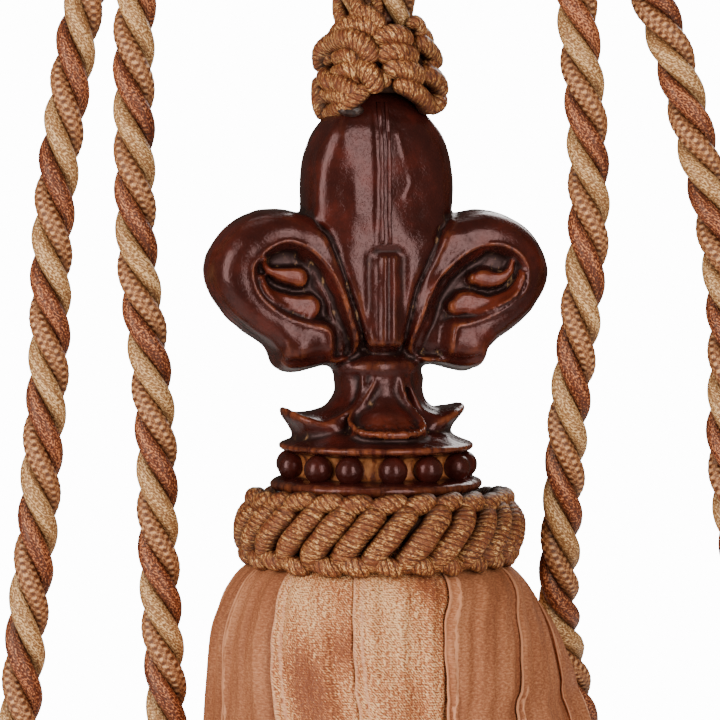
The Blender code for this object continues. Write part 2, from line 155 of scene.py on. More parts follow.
def line_distance(x, z, line, widths=False):
    """How far each place is from a line, and with widths the line's own width nearest to it."""
    line = np.array(line, float)
    best = np.full(x.shape, 1e9)
    width = np.zeros(x.shape)
    for start, end in zip(line, line[1:]):
        step = end[:2] - start[:2]
        share = ((x - start[0]) * step[0] + (z - start[1]) * step[1]) / max(step.dot(step), 1e-9)
        share = np.clip(share, 0, 1)
        gone = np.hypot(x - start[0] - share * step[0], z - start[1] - share * step[1])
        nearer = gone < best
        best = np.where(nearer, gone, best)
        if widths:
            width = np.where(nearer, start[2] + share * (end[2] - start[2]), width)
    return (best, width) if widths else best


def inside_outline(x, z, outline):
    """Whether each place lies inside a closed outline."""
    crossings = np.zeros(x.shape, int)
    for (x1, z1), (x2, z2) in zip(outline, np.roll(outline, -1, axis=0)):
        where = x1 + (z - z1) / ((z2 - z1) or 1e-9) * (x2 - x1)
        crossings += ((z1 > z) != (z2 > z)) & (x < where)
    return crossings % 2 == 1


# ---------------------------------------------------------------- meshes

WEAVE_UNIT = 100.0  # how many mm 1 stands for in a mesh's places along its cloth or yarn


class Shape:
    """Grids of points gathered into one mesh, each corner with its place across and along its grid."""

    def __init__(self):
        self.points = []
        self.faces = []
        self.corners = []
        self.slots = []
        self.open = []
        self.count = 0

    def add(self, rows, places=None, slot=0, closed=True, capped=True, openness=None):
        """Adds a grid of points, rows by columns. places holds a pair for each point, and one column
        more where the grid is closed round. Its last argument is the share of painted light at each point:
        0 where shade is painted, in a crease or on satin, and 1 where none is."""
        height, width = rows.shape[:2]
        if places is None:
            places = np.zeros((height, width + 1, 2))
        index = self.count + np.arange(height * width).reshape(height, width)
        here = np.arange(width if closed else width - 1)
        after = (here + 1) % width
        top, foot = index[:-1], index[1:]
        quads = np.stack([top[:, here], top[:, after], foot[:, after], foot[:, here]], -1)
        top, foot = places[:-1], places[1:]
        corner = np.stack([top[:, here], top[:, here + 1], foot[:, here + 1], foot[:, here]], 2)
        self.points.append(rows.reshape(-1, 3))
        self.open.append(np.ones(height * width) if openness is None else openness.ravel())
        self.faces.extend(quads.reshape(-1, 4).tolist())
        self.corners.append(corner.reshape(-1, 2))
        if closed and capped:
            self.faces.append(index[0, ::-1].tolist())
            self.faces.append(index[-1].tolist())
            self.corners.append(np.repeat(places[:1, 0], width, 0))
            self.corners.append(np.repeat(places[-1:, 0], width, 0))
        self.slots.extend([slot] * (len(self.faces) - len(self.slots)))
        self.count += height * width

    def make(self, name, materials):
        mesh = bpy.data.meshes.new(name)
        mesh.from_pydata(np.concatenate(self.points) * MM, [], self.faces)
        weave = mesh.uv_layers.new(name="weave")
        weave.data.foreach_set("uv", np.concatenate(self.corners).astype(np.float32).ravel())
        # the share of painted light at each point, which the materials turn into painted shade in their
        # colour
        set_attribute(mesh, "openness", np.concatenate(self.open))
        for surface in materials:
            mesh.materials.append(surface)
        mesh.polygons.foreach_set("material_index", np.array(self.slots, np.int32))
        mesh.shade_smooth()
        return put(name, mesh)


def put(name, data):
    """Puts a new object in the scene."""
    made = bpy.data.objects.new(name, data)
    bpy.context.scene.collection.objects.link(made)
    return made


def dress(made, node):
    """Lets an object take the place of a solid."""
    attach(made, "root")
    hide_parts(node)


def set_attribute(mesh, name, values):
    layer = mesh.attributes.new(name, "FLOAT", "POINT")
    layer.data.foreach_set("value", values.astype(np.float32))


def read(items, name, width, kind=np.float32):
    """A property of a mesh's items, as a row of width numbers for each."""
    flat = np.empty(len(items) * width, kind)
    items.foreach_get(name, flat)
    return flat.reshape(-1, width)


def read_points(mesh):
    return read(mesh.vertices, "co", 3).astype(float) / MM


def read_normals(mesh):
    return read(mesh.vertex_normals, "vector", 3).astype(float)


def write_points(mesh, points):
    mesh.vertices.foreach_set("co", (points * MM).astype(np.float32).ravel())
    mesh.update()


def apply_modifiers(made):
    graph = bpy.context.evaluated_depsgraph_get()
    mesh = bpy.data.meshes.new_from_object(made.evaluated_get(graph))
    plain = made.data
    made.modifiers.clear()
    made.data = mesh
    bpy.data.meshes.remove(plain)


def eased(values, edges, times):
    """Values at a mesh's points, each moved half way to the mean of its neighbours."""
    count, width = values.shape
    ends = np.concatenate([edges[:, 0], edges[:, 1]])
    others = np.concatenate([edges[:, 1], edges[:, 0]])
    degree = np.maximum(np.bincount(ends, minlength=count), 1)[:, None]
    for _ in range(times):
        picked = values[others]
        total = np.stack([np.bincount(ends, picked[:, column], count) for column in range(width)], 1)
        values = values + (total / degree - values) * 0.5
    return values


def tube(shape, path, along, radius, slot=0, start=(0.0, 0.0, 1.0), centre=None, axis=None):
    """Adds a tube. radius has a row for each point of the path and a column for each side. Where it is
    one of a cord's plies, centre holds the cord's middle for each point, and the ply gets painted shade
    where it lies near that middle. Where it lies round a knot, axis is how far right of the origin the
    knot's upright axis stands, and painted shade goes on the strand's sides turned from the knot's outside."""
    sides = radius.shape[1]
    angle = angles(sides)[None, :, None]
    first, second = normals_along(path, start)
    outward = first[:, None] * np.cos(angle) + second[:, None] * np.sin(angle)
    rows = path[:, None] + outward * radius[..., None]
    places = side_by_side(np.arange(sides + 1) / sides, along[:, None] / WEAVE_UNIT)
    # painted shade: a smaller share of painted light in the creases between plies and on strand sides turned
    # inward
    openness = None
    if centre is not None:
        openness = np.linalg.norm(rows - centre[:, None], axis=-1) / (PLY_OFFSET + PLY_RADIUS)
    if axis is not None:
        away = unit((path - (axis, 0.0, 0.0)) * (1.0, 1.0, 0.0))
        facing = np.einsum("ijk,ik->ij", outward, away)
        openness = 0.5 + 0.5 * np.clip((facing + 0.05) / 0.90, 0, 1)
    shape.add(rows, places, slot, openness=openness)


# ---------------------------------------------------------------- materials

WHITE = (1.0, 1.0, 1.0)
CREASE_SHADE = (0.09, 0.040, 0.028)  # painted shade: what is left of a colour in the deepest crease
LOOK_NAMES = {
    "level": "Specular IOR Level", "tint": "Specular Tint", "sheen": "Sheen Weight", "alpha": "Alpha"}


def add_node(tree, kind, inputs, settings=None, output=0):
    """What a new node puts out. Its inputs are values to link or plain numbers to set."""
    added = tree.nodes.new(kind)
    for name, setting in (settings or {}).items():
        setattr(added, name, setting)
    for name, value in inputs.items():
        if isinstance(value, Value):
            tree.links.new(value.socket, added.inputs[name])
        else:
            added.inputs[name].default_value = value
    return Value(added.outputs[output])


class Value:
    """A number, place or colour that a node puts out. Working with it adds nodes."""

    def __init__(self, socket):
        self.socket = socket

    def node(self, kind, inputs, settings=None, output=0):
        return add_node(self.socket.id_data, kind, inputs, settings, output)

    def maths(self, operation, other=0.0):
        return self.node("ShaderNodeMath", {0: self, 1: other}, {"operation": operation})

    def __add__(self, other):
        return self.maths("ADD", other)

    def __sub__(self, other):
        return self.maths("SUBTRACT", other)

    def __mul__(self, other):
        return self.maths("MULTIPLY", other)

    def __truediv__(self, other):
        return self.maths("DIVIDE", other)

    def sine(self):
        return self.maths("SINE")

    def ridges(self):
        """Ridges side by side, one for each whole number, 0 between them and 1 on top."""
        return (self * math.pi).sine().maths("ABSOLUTE")

    def contrast(self, gain, middle=0.5):
        """The value spread about its middle."""
        return (self - middle) * gain + middle

    def share(self, low, high):
        """The value's share of the way from low to high."""
        return self.node("ShaderNodeMapRange", {"Value": self, "From Min": low, "From Max": high})

    def noise(self, scale, detail=3.0, roughness=0.5):
        inputs = {"Vector": self, "Scale": scale, "Detail": detail, "Roughness": roughness}
        return self.node("ShaderNodeTexNoise", inputs, output="Fac")

    def ramp(self, *stops):
        """A colour for each value, from stops that are a value and its colour."""
        made = self.node("ShaderNodeValToRGB", {0: self})
        elements = made.socket.node.color_ramp.elements
        while len(elements) < len(stops):
            elements.new(0.5)
        for element, (place, colour) in zip(elements, stops):
            element.position = place
            element.color = (*colour, 1.0)
        return made

    def blend(self, share, other, kind="MIX"):
        """This colour with a share of another one."""
        second = other if isinstance(other, Value) else (*other, 1.0)
        settings = {"data_type": "RGBA", "blend_type": kind}
        return self.node("ShaderNodeMix", {0: share, 6: self, 7: second}, settings, 2)

    def times(self, other):
        return self.blend(1.0, other, "MULTIPLY")


class Surface:
    """A material and what it is worked out from."""

    def __init__(self, name):
        self.made = bpy.data.materials.new(name)
        self.made.use_nodes = True
        self.tree = self.made.node_tree

    def place(self):
        return add_node(self.tree, "ShaderNodeTexCoord", {}, output="Object")

    def attribute(self, name):
        return add_node(self.tree, "ShaderNodeAttribute", {}, {"attribute_name": name}, "Fac")

    def vector(self, x, y, z):
        return add_node(self.tree, "ShaderNodeCombineXYZ", {0: x, 1: y, 2: z})

    def weave(self):
        """The places across and along a strand or cloth, across as in its mesh, along in mm."""
        pair = add_node(self.tree, "ShaderNodeUVMap", {}, {"uv_map": "weave"})
        across = pair.node("ShaderNodeSeparateXYZ", {0: pair})
        return across, Value(across.socket.node.outputs[1]) * WEAVE_UNIT

    def painted_crease_shade(self, colour, clear=0.93):
        """The colour, darkened by painted shade in the creases between strands. It is full from a share of
        painted light of clear on.
        """
        return colour.times(self.attribute("openness").ramp((0.54, CREASE_SHADE), (clear, WHITE)))

    def finish(self, colour, height, bump, relief, roughness, **more):
        """Sets the look: its bumps rise by relief in mm, and bump is how much of that shows."""
        inputs = {"Strength": bump, "Distance": relief * MM, "Height": height}
        normal = height.node("ShaderNodeBump", inputs)
        looks = {"Base Color": colour, "Roughness": roughness, "Normal": normal}
        looks.update((LOOK_NAMES[name], value) for name, value in more.items())
        for name, value in looks.items():
            socket = self.tree.nodes["Principled BSDF"].inputs[name]
            if isinstance(value, Value):
                self.tree.links.new(value.socket, socket)
            else:
                socket.default_value = value
        return self.made


# The gimp cord that the knots are tied from: its thread's pitch, and how many threads lie side by side.
THREAD_PITCH = 1.05
THREAD_STARTS = 5
THREAD_RELIEF = 0.13


def gimp_material():
    """Mottled tan and rust thread wound round the knots' cord, with painted highlights on the tops of its
    wraps, painted glints on its lightest fibre specks, and painted shade in the grooves between wraps and in
    the creases between strands.
    """
    surface = Surface("gimp")
    across, along = surface.weave()
    turns = along / THREAD_PITCH - across * THREAD_STARTS
    thread = turns.maths("FLOOR")
    ridge = turns.ridges()
    fine = (turns * 2.0).ridges()
    round_place = across * 9.0
    patch = surface.vector(thread * 1.3, round_place, along).noise(0.62, 3.0, 0.6)
    fibre = surface.vector(turns * 3.1, round_place * 1.35, thread * 0.7).noise(1.9, 4.0, 0.7)
    # painted highlight: the tops of the thread wraps (ridge) are made lighter; the lightest fibre specks are
    # painted glints as well as fibre colour
    tone = patch.contrast(1.1) + fibre.contrast(3.4, 0.47) + ridge * 0.24 - 0.67
    colour = tone.ramp(
        (0.05, (0.062, 0.013, 0.006)),
        (0.34, (0.140, 0.033, 0.012)),
        (0.58, (0.240, 0.066, 0.019)),
        (0.80, (0.500, 0.190, 0.052)),
        (0.99, (0.920, 0.560, 0.230)),
    )
    rust = surface.place().noise(330.0, 2.0).share(0.50, 0.62)
    colour = colour.blend(rust * 0.55, (0.215, 0.052, 0.021))
    # painted shade in the grooves between the thread wraps, fainter in the finer grooves between them
    colour = colour.times(ridge.ramp((0.0, (0.50, 0.38, 0.32)), (0.50, WHITE)))
    colour = colour.times(fine.ramp((0.0, (0.56, 0.45, 0.39)), (0.38, WHITE)))
    return surface.finish(surface.painted_crease_shade(colour, 0.98), ridge * 0.8 + fibre * 1.2, bump=0.9, relief=0.22,
                          roughness=0.36, tint=(1.0, 0.84, 0.62, 1.0))


YARN_TINT = (1.0, 0.86, 0.68, 1.0)
# Colours of the yarns from dark to light; the lightest colour the bright specks, which are partly painted
# glints.
TAN_STOPS = (
    (0.05, (0.235, 0.098, 0.034)),
    (0.42, (0.360, 0.165, 0.058)),
    (0.60, (0.520, 0.268, 0.098)),
    (0.92, (0.900, 0.560, 0.250)),
)
RUSSET_STOPS = (
    (0.05, (0.075, 0.014, 0.007)),
    (0.42, (0.138, 0.030, 0.011)),
    (0.64, (0.228, 0.056, 0.020)),
    (0.96, (0.600, 0.215, 0.085)),
)


def silk_material(name, stops, slant):
    """A ply of smooth yarn: close bright specks of thread that run along it at a slant, partly its fibres'
    own colour and partly painted glints, with painted shade in the creases between plies.
    """
    surface = Surface(name)
    across, along = surface.weave()
    lines = across * 30.0 + along * slant
    speck = surface.vector(lines, along * 1.35, 0.0).noise(1.45, 0.0)
    strand = surface.vector(lines, along * 0.12, 7.0).noise(0.42, 1.0)
    tone = speck.contrast(2.3) + strand.contrast(1.3) - 0.5
    return surface.finish(surface.painted_crease_shade(tone.ramp(*stops)), speck, bump=0.8, relief=0.2, roughness=0.40,
                          tint=YARN_TINT)


# The ribbed ply's rings of thread, and how many fine lines cross them.
RING_PITCH = 1.55
RING_COLUMNS = 12.0
RING_RELIEF = 0.12


def ribbed_material():
    """A ply wound with two threads, tan over brown, in rings crossed by fine dark lines."""
    surface = Surface("ribbed_yarn")
    across, along = surface.weave()
    ring = along / RING_PITCH + across
    column = across * RING_COLUMNS
    ring_wave = (ring * TAU).sine()
    speck = surface.vector(column * 2.4, ring * 3.0, 0.0).noise(1.3, 2.0, 0.6)
    block = ring_wave * (column * math.pi).sine() * 0.30 + 0.50 + ring_wave * 0.12
    colour = (block + speck.contrast(1.3) - 0.5).ramp(
        (0.16, (0.105, 0.029, 0.011)),
        (0.40, (0.200, 0.066, 0.023)),
        (0.60, (0.425, 0.175, 0.066)),
        (0.90, (0.800, 0.420, 0.190)),
    )
    # painted shade in the creases between plies
    return surface.finish(surface.painted_crease_shade(colour), block * 0.8 + speck * 0.7, bump=0.8, relief=0.22,
                          roughness=0.45, tint=YARN_TINT)


def shade_core_material():
    """A near-black core that shows between a knot's strands: painted shade in the gaps between them."""
    surface = Surface("painted_shade_core")
    fibre = surface.place().noise(1400.0, 4.0, 0.6)
    colour = fibre.ramp((0.3, (0.014, 0.005, 0.003)), (0.7, (0.040, 0.015, 0.007)))
    return surface.finish(colour, fibre, bump=0.4, relief=0.15, roughness=0.8, level=0.15)


def glue_material():
    """Clear glue set over dark lacquer."""
    surface = Surface("glue")
    blotch = surface.place().noise(900.0, 3.0)
    colour = blotch.ramp(
        (0.42, (0.020, 0.010, 0.008)), (0.58, (0.045, 0.024, 0.018)), (0.70, (0.130, 0.085, 0.066)))
    return surface.finish(colour, blotch, bump=0.7, relief=0.4, roughness=0.28, level=0.3)


def lacquer_material():
    """Mahogany lacquer, nearly black in the hollows, rubbed through to orange on the edges."""
    surface = Surface("antique_lacquer")
    place = surface.place()
    patch = place.noise(130.0, 4.0, 0.6)
    stretched = place.node("ShaderNodeMapping", {"Vector": place, "Scale": (1.0, 1.0, 0.3)})
    streak = stretched.noise(700.0, 5.0, 0.65)
    edge = surface.attribute("edge")
    form = surface.attribute("form")
    colour = patch.ramp(
        (0.30, (0.023, 0.0050, 0.0038)), (0.52, (0.038, 0.0072, 0.0050)), (0.72, (0.074, 0.0108, 0.0066)))
    worn = surface.attribute("warm") * patch.share(0.25, 0.55)
    colour = colour.blend(worn * 0.8, (0.115, 0.018, 0.0075))
    rubbed = edge.share(0.16, 0.50) * streak.share(0.38, 0.60)
    colour = colour.blend(rubbed * 0.85, (0.22, 0.058, 0.020))
    swollen = form.share(0.2, 0.7) * patch.share(0.40, 0.7)
    colour = colour.blend(swollen * 0.4, (0.13, 0.024, 0.010))
    sunk = edge.share(-0.04, -0.24).maths("MAXIMUM", form.share(-0.15, -0.75))
    colour = colour.blend(sunk * 0.9, (0.0085, 0.0042, 0.0036))
    crumbs = edge.share(-0.10, -0.30) * streak.share(0.60, 0.66)
    colour = colour.blend(crumbs, (0.20, 0.11, 0.05))
    brushed = surface.attribute("gilt") * streak.share(0.22, 0.5)
    colour = colour.blend(brushed, streak.ramp(
        (0.38, (0.110, 0.026, 0.009)), (0.50, (0.240, 0.076, 0.023)), (0.66, (0.420, 0.170, 0.062))))
    pits = place.noise(1500.0, 3.0, 0.6).share(0.36, 0.5)
    roughness = sunk * 0.22 + patch * 0.20 + 0.09
    return surface.finish(colour, pits * 0.5 + streak * 0.5, bump=0.30, relief=0.12, roughness=roughness,
                          level=0.40, tint=(1.0, 0.62, 0.60, 1.0))


RIBBON_WIDTH = 25.5
SATIN_SEED = 3.0
# how dark the painted shade on the satin gets
PAINTED_SATIN_SHADE_DEPTH = 0.54


def selvedge(surface, across, along):
    """How much a place belongs to a ribbon's pale wavy edges, 0 to 1."""
    waver = surface.vector(0.0, along * 0.5, across).noise(1.0, 2.0) * 0.9
    from_edge = across.maths("MINIMUM", across * -1.0 + RIBBON_WIDTH)
    from_fold = (across - 2.5 + (waver - 0.45) * 2.4).maths("ABSOLUTE")
    return (from_edge + waver).share(1.25, 0.80).maths("MAXIMUM", from_fold.share(0.45, 0.20))


def satin_material():
    """Peach satin: a close twill whose threads glitter, partly through its bump and gloss and partly through
    bright dashes painted into its colour, with broad zones of painted sheen and painted shade where it turns
    from the light.
    """
    surface = Surface("satin_cloth")
    across, along = surface.weave()
    across = across * WEAVE_UNIT
    down_dash = across * 0.90 + along * 0.44
    over_dash = along * 0.90 - across * 0.44
    dash = surface.vector(down_dash * 1.1, over_dash * 2.3, 0.0).noise(1.15, 1.0, 0.6)
    twill = (over_dash * (TAU / 0.58)).sine() * (down_dash * (TAU / 1.3)).sine()
    thread = surface.vector(across * 2.2, along * 0.30, 5.0).noise(1.0, 2.0, 0.6)
    # broad soft zones of painted sheen
    broad = surface.vector(across - along * 0.35, along * 0.55, SATIN_SEED).noise(0.10, 1.0)
    # the twill and its threads, with the brightest dashes painted glitter
    fine = dash.contrast(3.9, 0.49) + twill * 0.42 + thread * 1.5 - 0.75
    # painted shade where the ribbon turns from the light, from its share of painted light
    painted_lit = surface.attribute("openness") * PAINTED_SATIN_SHADE_DEPTH - (PAINTED_SATIN_SHADE_DEPTH - 0.06)
    colour = (fine * 0.52 + broad.contrast(1.6) * 0.52 + painted_lit).ramp(
        (0.08, (0.215, 0.052, 0.018)),
        (0.36, (0.370, 0.108, 0.036)),
        (0.62, (0.640, 0.232, 0.082)),
        (0.92, (1.000, 0.610, 0.290)),
    )
    colour = colour.blend(selvedge(surface, across, along) * 0.55, (0.80, 0.40, 0.23))
    return surface.finish(colour, fine, bump=0.7, relief=0.16, roughness=thread * 0.25 + 0.22, sheen=0.04,
                          level=0.65, tint=(1.0, 0.76, 0.56, 1.0))


def organza_material():
    """Fine organza in the same peach, its threads showing and its selvedges paler."""
    surface = Surface("organza_cloth")
    across, along = surface.weave()
    across = across * WEAVE_UNIT
    thread = ((across / 0.34).ridges() * 0.75).maths("MAXIMUM", (along / 0.30).ridges())
    slub = surface.vector(across * 0.5, along, 0.0).noise(2.4, 2.0, 0.6)
    broad = surface.vector(across, along * 0.4, 2.0).noise(0.12, 3.0)
    tone = slub.contrast(1.7) + broad.contrast(1.2) + thread * 0.20 - 0.66
    colour = tone.ramp(
        (0.15, (0.235, 0.074, 0.030)), (0.50, (0.355, 0.126, 0.053)), (0.90, (0.530, 0.220, 0.103)))
    colour = colour.blend(selvedge(surface, across, along) * 0.8, (0.68, 0.30, 0.155))
    return surface.finish(colour, thread + slub, bump=0.4, relief=0.08, roughness=0.62, level=0.35,
                          tint=(1.0, 0.80, 0.64, 1.0))


# ---------------------------------------------------------------- cords

CORD_PITCH = 27.0  # how far along a cord its plies turn once round it
CORD_NECK = 0.86  # how much thinner a cord is where the knot grips it
NECK_LENGTH = 14.0
PLY_RADIUS = 2.32
PLY_OFFSET = 2.43
PLY_SIDES = 14
PLIES = ("tan", "ribbed", "russet")  # in the order in which they come along a cord
# Where each loop's plies start, and how much its hidden bend turns them further, in turns.
LEFT_PHASE = (0.147, 0.303)
RIGHT_PHASE = (0.15, 0.19)
BEND_START, BEND_END = 240.0, 400.0  # how far along a loop its hidden bend lies

LEFT_LOOP = (
    (-4.3, -4.3, -34.6), (-5.2, -4.4, -24.0), (-10.6, -4.4, -12.8), (-21.0, -4.2, -6.2),
    (-33.6, -3.8, -5.4), (-45.0, -3.2, -10.6), (-52.0, -2.4, -20.6), (-53.9, -2.0, -34.0),
    (-54.1, -1.6, -58.0), (-53.6, -0.6, -86.0), (-51.0, 0.0, -109.0), (-49.5, 0.0, -130.0),
    (-49.2, 0.0, -150.6), (-48.4, 0.0, -168.6), (-47.4, 0.0, -190.2), (-48.4, 0.0, -212.0),
    (-52.8, 0.0, -232.0), (-61.4, 0.0, -244.0), (-72.4, 0.0, -243.4), (-80.2, 0.0, -231.0),
    (-82.4, 0.0, -212.0), (-80.6, 0.0, -190.2), (-78.8, 0.0, -167.4), (-76.5, 0.0, -147.9),
    (-75.2, 0.0, -129.9), (-73.7, 0.4, -109.2), (-73.0, 1.0, -84.0), (-71.3, 1.8, -64.3),
    (-68.8, 2.8, -46.7), (-65.4, 3.4, -27.9), (-58.2, 3.8, -12.6), (-46.0, 4.2, -1.8), (-31.0, 4.4, 0.6),
    (-17.0, 4.5, -5.2), (-7.4, 4.5, -17.0), (-4.6, 4.4, -26.0), (-4.3, 4.3, -34.6),
)
RIGHT_LOOP = (
    (4.3, -4.3, -34.6), (5.0, -4.4, -24.0), (10.0, -4.4, -12.4), (19.6, -4.2, -6.8), (30.4, -3.8, -7.8),
    (39.4, -3.2, -14.6), (43.8, -2.4, -24.6), (45.7, -1.8, -41.1), (47.3, -0.8, -59.2),
    (47.7, 0.0, -80.0), (45.9, 0.2, -100.4), (43.8, 3.4, -121.0), (42.9, 7.0, -140.0),
    (42.4, 11.4, -156.0), (42.8, 17.0, -167.0), (44.2, 22.6, -176.0), (46.4, 26.8, -186.0),
    (48.8, 29.2, -197.0), (53.0, 28.8, -211.0), (60.6, 22.8, -227.6), (70.8, 15.0, -240.6),
    (82.6, 9.4, -242.0), (91.6, 6.0, -230.4), (94.6, 4.6, -212.0), (92.6, 3.4, -194.0),
    (88.2, 1.8, -176.0), (84.6, 0.6, -162.0), (81.2, 0.0, -146.4), (79.2, 0.0, -128.0),
    (79.4, 0.0, -112.3), (78.9, 0.4, -97.0), (76.6, 1.0, -79.0), (72.4, 1.8, -61.6), (67.4, 2.6, -42.6),
    (62.0, 3.4, -27.6), (54.2, 3.8, -12.6), (42.4, 4.2, -1.6), (28.4, 4.4, 0.6), (15.6, 4.5, -5.6),
    (7.0, 4.5, -17.0), (4.6, 4.4, -26.0), (4.3, 4.3, -34.6),
)


def twisted_cord(name, points, phase, materials):
    """A cord of three plies that turn round its route."""
    route, along = smooth_route(points, 0.5)
    length = along[-1]
    first, second = normals_along(route, (0.0, -1.0, 0.0))
    nearest_end = np.minimum(along, length - along)
    squeeze = CORD_NECK + (1 - CORD_NECK) * np.clip(nearest_end / NECK_LENGTH, 0, 1)
    bend = np.clip((along - BEND_START) / (BEND_END - BEND_START), 0, 1)
    turned = -TAU * along / CORD_PITCH + TAU * (phase[0] + phase[1] * bend)
    shape = Shape()
    for ply, kind in enumerate(PLIES):
        angle = (turned + TAU * ply / 3)[:, None]
        offset = first * np.cos(angle) + second * np.sin(angle)
        line = route + offset * (PLY_OFFSET * squeeze)[:, None]
        path, reached = smooth_route(line[::2], 0.4 if kind == "ribbed" else 1.0)
        share = reached / reached[-1] * length
        radius = np.repeat(np.interp(share, along, squeeze)[:, None] * PLY_RADIUS, PLY_SIDES, 1)
        if kind == "ribbed":
            place = reached[:, None] / RING_PITCH + np.arange(PLY_SIDES) / PLY_SIDES
            radius += RING_RELIEF * (np.abs(np.sin(math.pi * place)) - 0.5)
        tube(shape, path, reached, radius, ply, centre=read_off(share, along, route))
    made = shape.make(name, materials)
    dress(made, name.replace("_cord", "_loop"))


# ---------------------------------------------------------------- finial

FINIAL_TURN = math.radians(13)
BODY_GRAIN, FINIAL_GRAIN = 0.55, 0.515  # the size of the faces that it is first and last made of

# The middle petal: height above the finial's base, half width, half depth.
MIDDLE_PETAL = (
    (91.0, 0.6, 0.6), (89.6, 4.6, 4.2), (86.8, 8.8, 7.0), (83.0, 12.8, 9.0), (79.2, 15.2, 10.1),
    (74.0, 16.8, 10.7), (67.5, 17.3, 10.9), (61.5, 16.6, 10.8), (57.5, 13.6, 10.6), (52.5, 10.8, 10.3),
    (47.0, 8.2, 10.0), (40.0, 6.2, 9.6), (33.0, 4.6, 8.8), (30.0, 1.0, 4.0),
)
PETAL_SQUARENESS = 2.6  # the power of the superellipse that is its section
PETAL_DEPTH = 10.8  # its half depth between the side petals

# A side petal's outline, as across and height. Its section is part of the way from its centre to its
# outline, and part of the full depth.
SIDE_PETAL = (
    (8.0, 61.0), (16.0, 62.4), (21.5, 63.7), (26.5, 63.5), (31.0, 62.0), (35.0, 59.0), (38.0, 55.0),
    (39.4, 50.8), (38.9, 46.8), (37.0, 43.2), (34.4, 39.6), (30.4, 36.2), (26.2, 33.4), (24.2, 31.2),
    (23.6, 29.0), (22.4, 27.4), (19.5, 26.9), (16.0, 27.6), (12.6, 28.4), (9.6, 28.4), (5.4, 30.4),
    (4.0, 36.0), (4.5, 44.0), (5.5, 53.0),
)
SIDE_PETAL_CENTRE = (20.5, 45.5)
SIDE_PETAL_DEPTH = 11.4
SIDE_PETAL_SECTION = (
    (0.0, 0.93), (0.25, 0.94), (0.45, 0.96), (0.66, 0.98), (0.82, 0.88), (0.93, 0.64), (1.0, 0.0),
)

# Lines on the front, as across and height above the base. Each side petal's rim runs from the foot of
# its inner side over the top and back to its tail.
LEFT_RIM = (
    (-4.0, 27.0), (-5.2, 32.0), (-6.4, 35.4), (-7.9, 38.8), (-9.1, 42.4), (-10.8, 46.4), (-13.2, 50.6),
    (-17.0, 54.4), (-21.8, 56.4), (-26.1, 55.1), (-29.4, 52.1), (-30.2, 49.4), (-28.9, 45.0),
    (-25.4, 41.4), (-20.6, 38.8), (-16.0, 37.5), (-13.4, 36.6), (-12.8, 34.0), (-13.0, 30.4),
    (-12.8, 26.0),
)
RIGHT_RIM = (
    (3.8, 27.0), (5.0, 31.6), (6.8, 36.7), (8.5, 41.5), (11.0, 47.1), (13.9, 50.3), (18.4, 53.9),
    (23.4, 55.7), (27.6, 55.2), (31.0, 52.8), (32.4, 49.0), (31.2, 44.8), (27.4, 41.6), (22.4, 39.2),
    (18.2, 37.9), (16.0, 37.4), (15.2, 34.6), (15.0, 31.4), (14.6, 26.0),
)
LEFT_CREASE = (
    (-19.0, 53.2), (-16.5, 50.0), (-15.0, 46.8), (-12.8, 43.2), (-12.0, 40.0), (-9.9, 35.6), (-9.2, 30.2),
)
RIGHT_CREASE = (
    (22.0, 53.4), (18.4, 51.2), (14.6, 47.8), (12.0, 43.8), (10.4, 39.2), (9.0, 35.9), (7.8, 31.6),
)
# The leaves in the hollows: across, height, half width.
LEFT_LEAVES = (
    ((-27.5, 52.4, 0.6), (-26.9, 50.5, 0.8), (-25.2, 49.5, 1.2), (-22.2, 48.8, 1.9), (-19.4, 48.4, 2.3)),
    ((-28.0, 48.6, 0.6), (-26.6, 45.6, 0.9), (-23.6, 43.7, 1.5), (-19.8, 42.5, 2.0), (-17.0, 42.0, 2.6)),
)
RIGHT_LEAVES = (
    ((28.9, 51.6, 0.5), (28.6, 49.9, 0.9), (27.0, 48.3, 1.5), (24.7, 47.8, 1.9), (22.5, 48.1, 2.0),
     (20.4, 48.1, 1.4)),
    ((30.7, 49.4, 0.5), (30.3, 47.5, 0.8), (28.7, 45.0, 1.1), (26.4, 43.6, 1.2), (23.9, 42.7, 1.5),
     (21.1, 42.5, 2.3), (18.3, 42.7, 2.7), (16.2, 41.8, 2.0)),
)
LEFT_SEAM = (
    (-16.6, 61.6), (-12.6, 56.4), (-9.9, 49.6), (-8.2, 44.5), (-6.4, 40.2), (-4.6, 35.6), (-3.2, 32.0),
)
RIGHT_SEAM = (
    (15.4, 61.4), (13.2, 58.4), (11.2, 54.3), (8.8, 49.5), (7.0, 45.6), (5.8, 41.3), (4.6, 36.0),
    (3.6, 32.0),
)
SIDES = (
    (LEFT_RIM, LEFT_CREASE, LEFT_LEAVES, LEFT_SEAM),
    (RIGHT_RIM, RIGHT_CREASE, RIGHT_LEAVES, RIGHT_SEAM),
)
# How deep the hollow inside a rim is, how far its leaves stand out of it, and how deep the seam is.
HOLLOW_DEPTH, LEAF_RISE, SEAM_DEPTH = 3.6, 2.9, 0.8

# The middle petal's hand-worked planes, as across and how far they stand out, and a run of lacquer on
# it. Its face narrows downwards: heights, and half widths there.
PETAL_PLANES = (
    (-17.3, 0.0), (-16.5, 0.6), (-15.5, 1.0), (-14.5, 1.25), (-13.0, 1.35), (-12.0, 1.3), (-9.5, 0.9),
    (-6.5, 0.4), (-3.6, 0.05), (-3.0, 0.0), (-2.5, -0.35), (0.0, -0.5), (4.0, -0.95), (8.0, -1.3),
    (12.0, -1.1), (15.0, -0.6), (17.3, 0.0),
)
PETAL_DRIP = ((2.9, 80.5), (3.6, 77.0), (4.6, 73.4), (5.3, 70.8), (5.7, 69.0), (4.4, 66.3))
PETAL_FACE = ((33.0, 40.0, 47.0, 52.5, 57.5, 62.0), (3.2, 4.6, 6.4, 8.8, 11.6, 15.0))
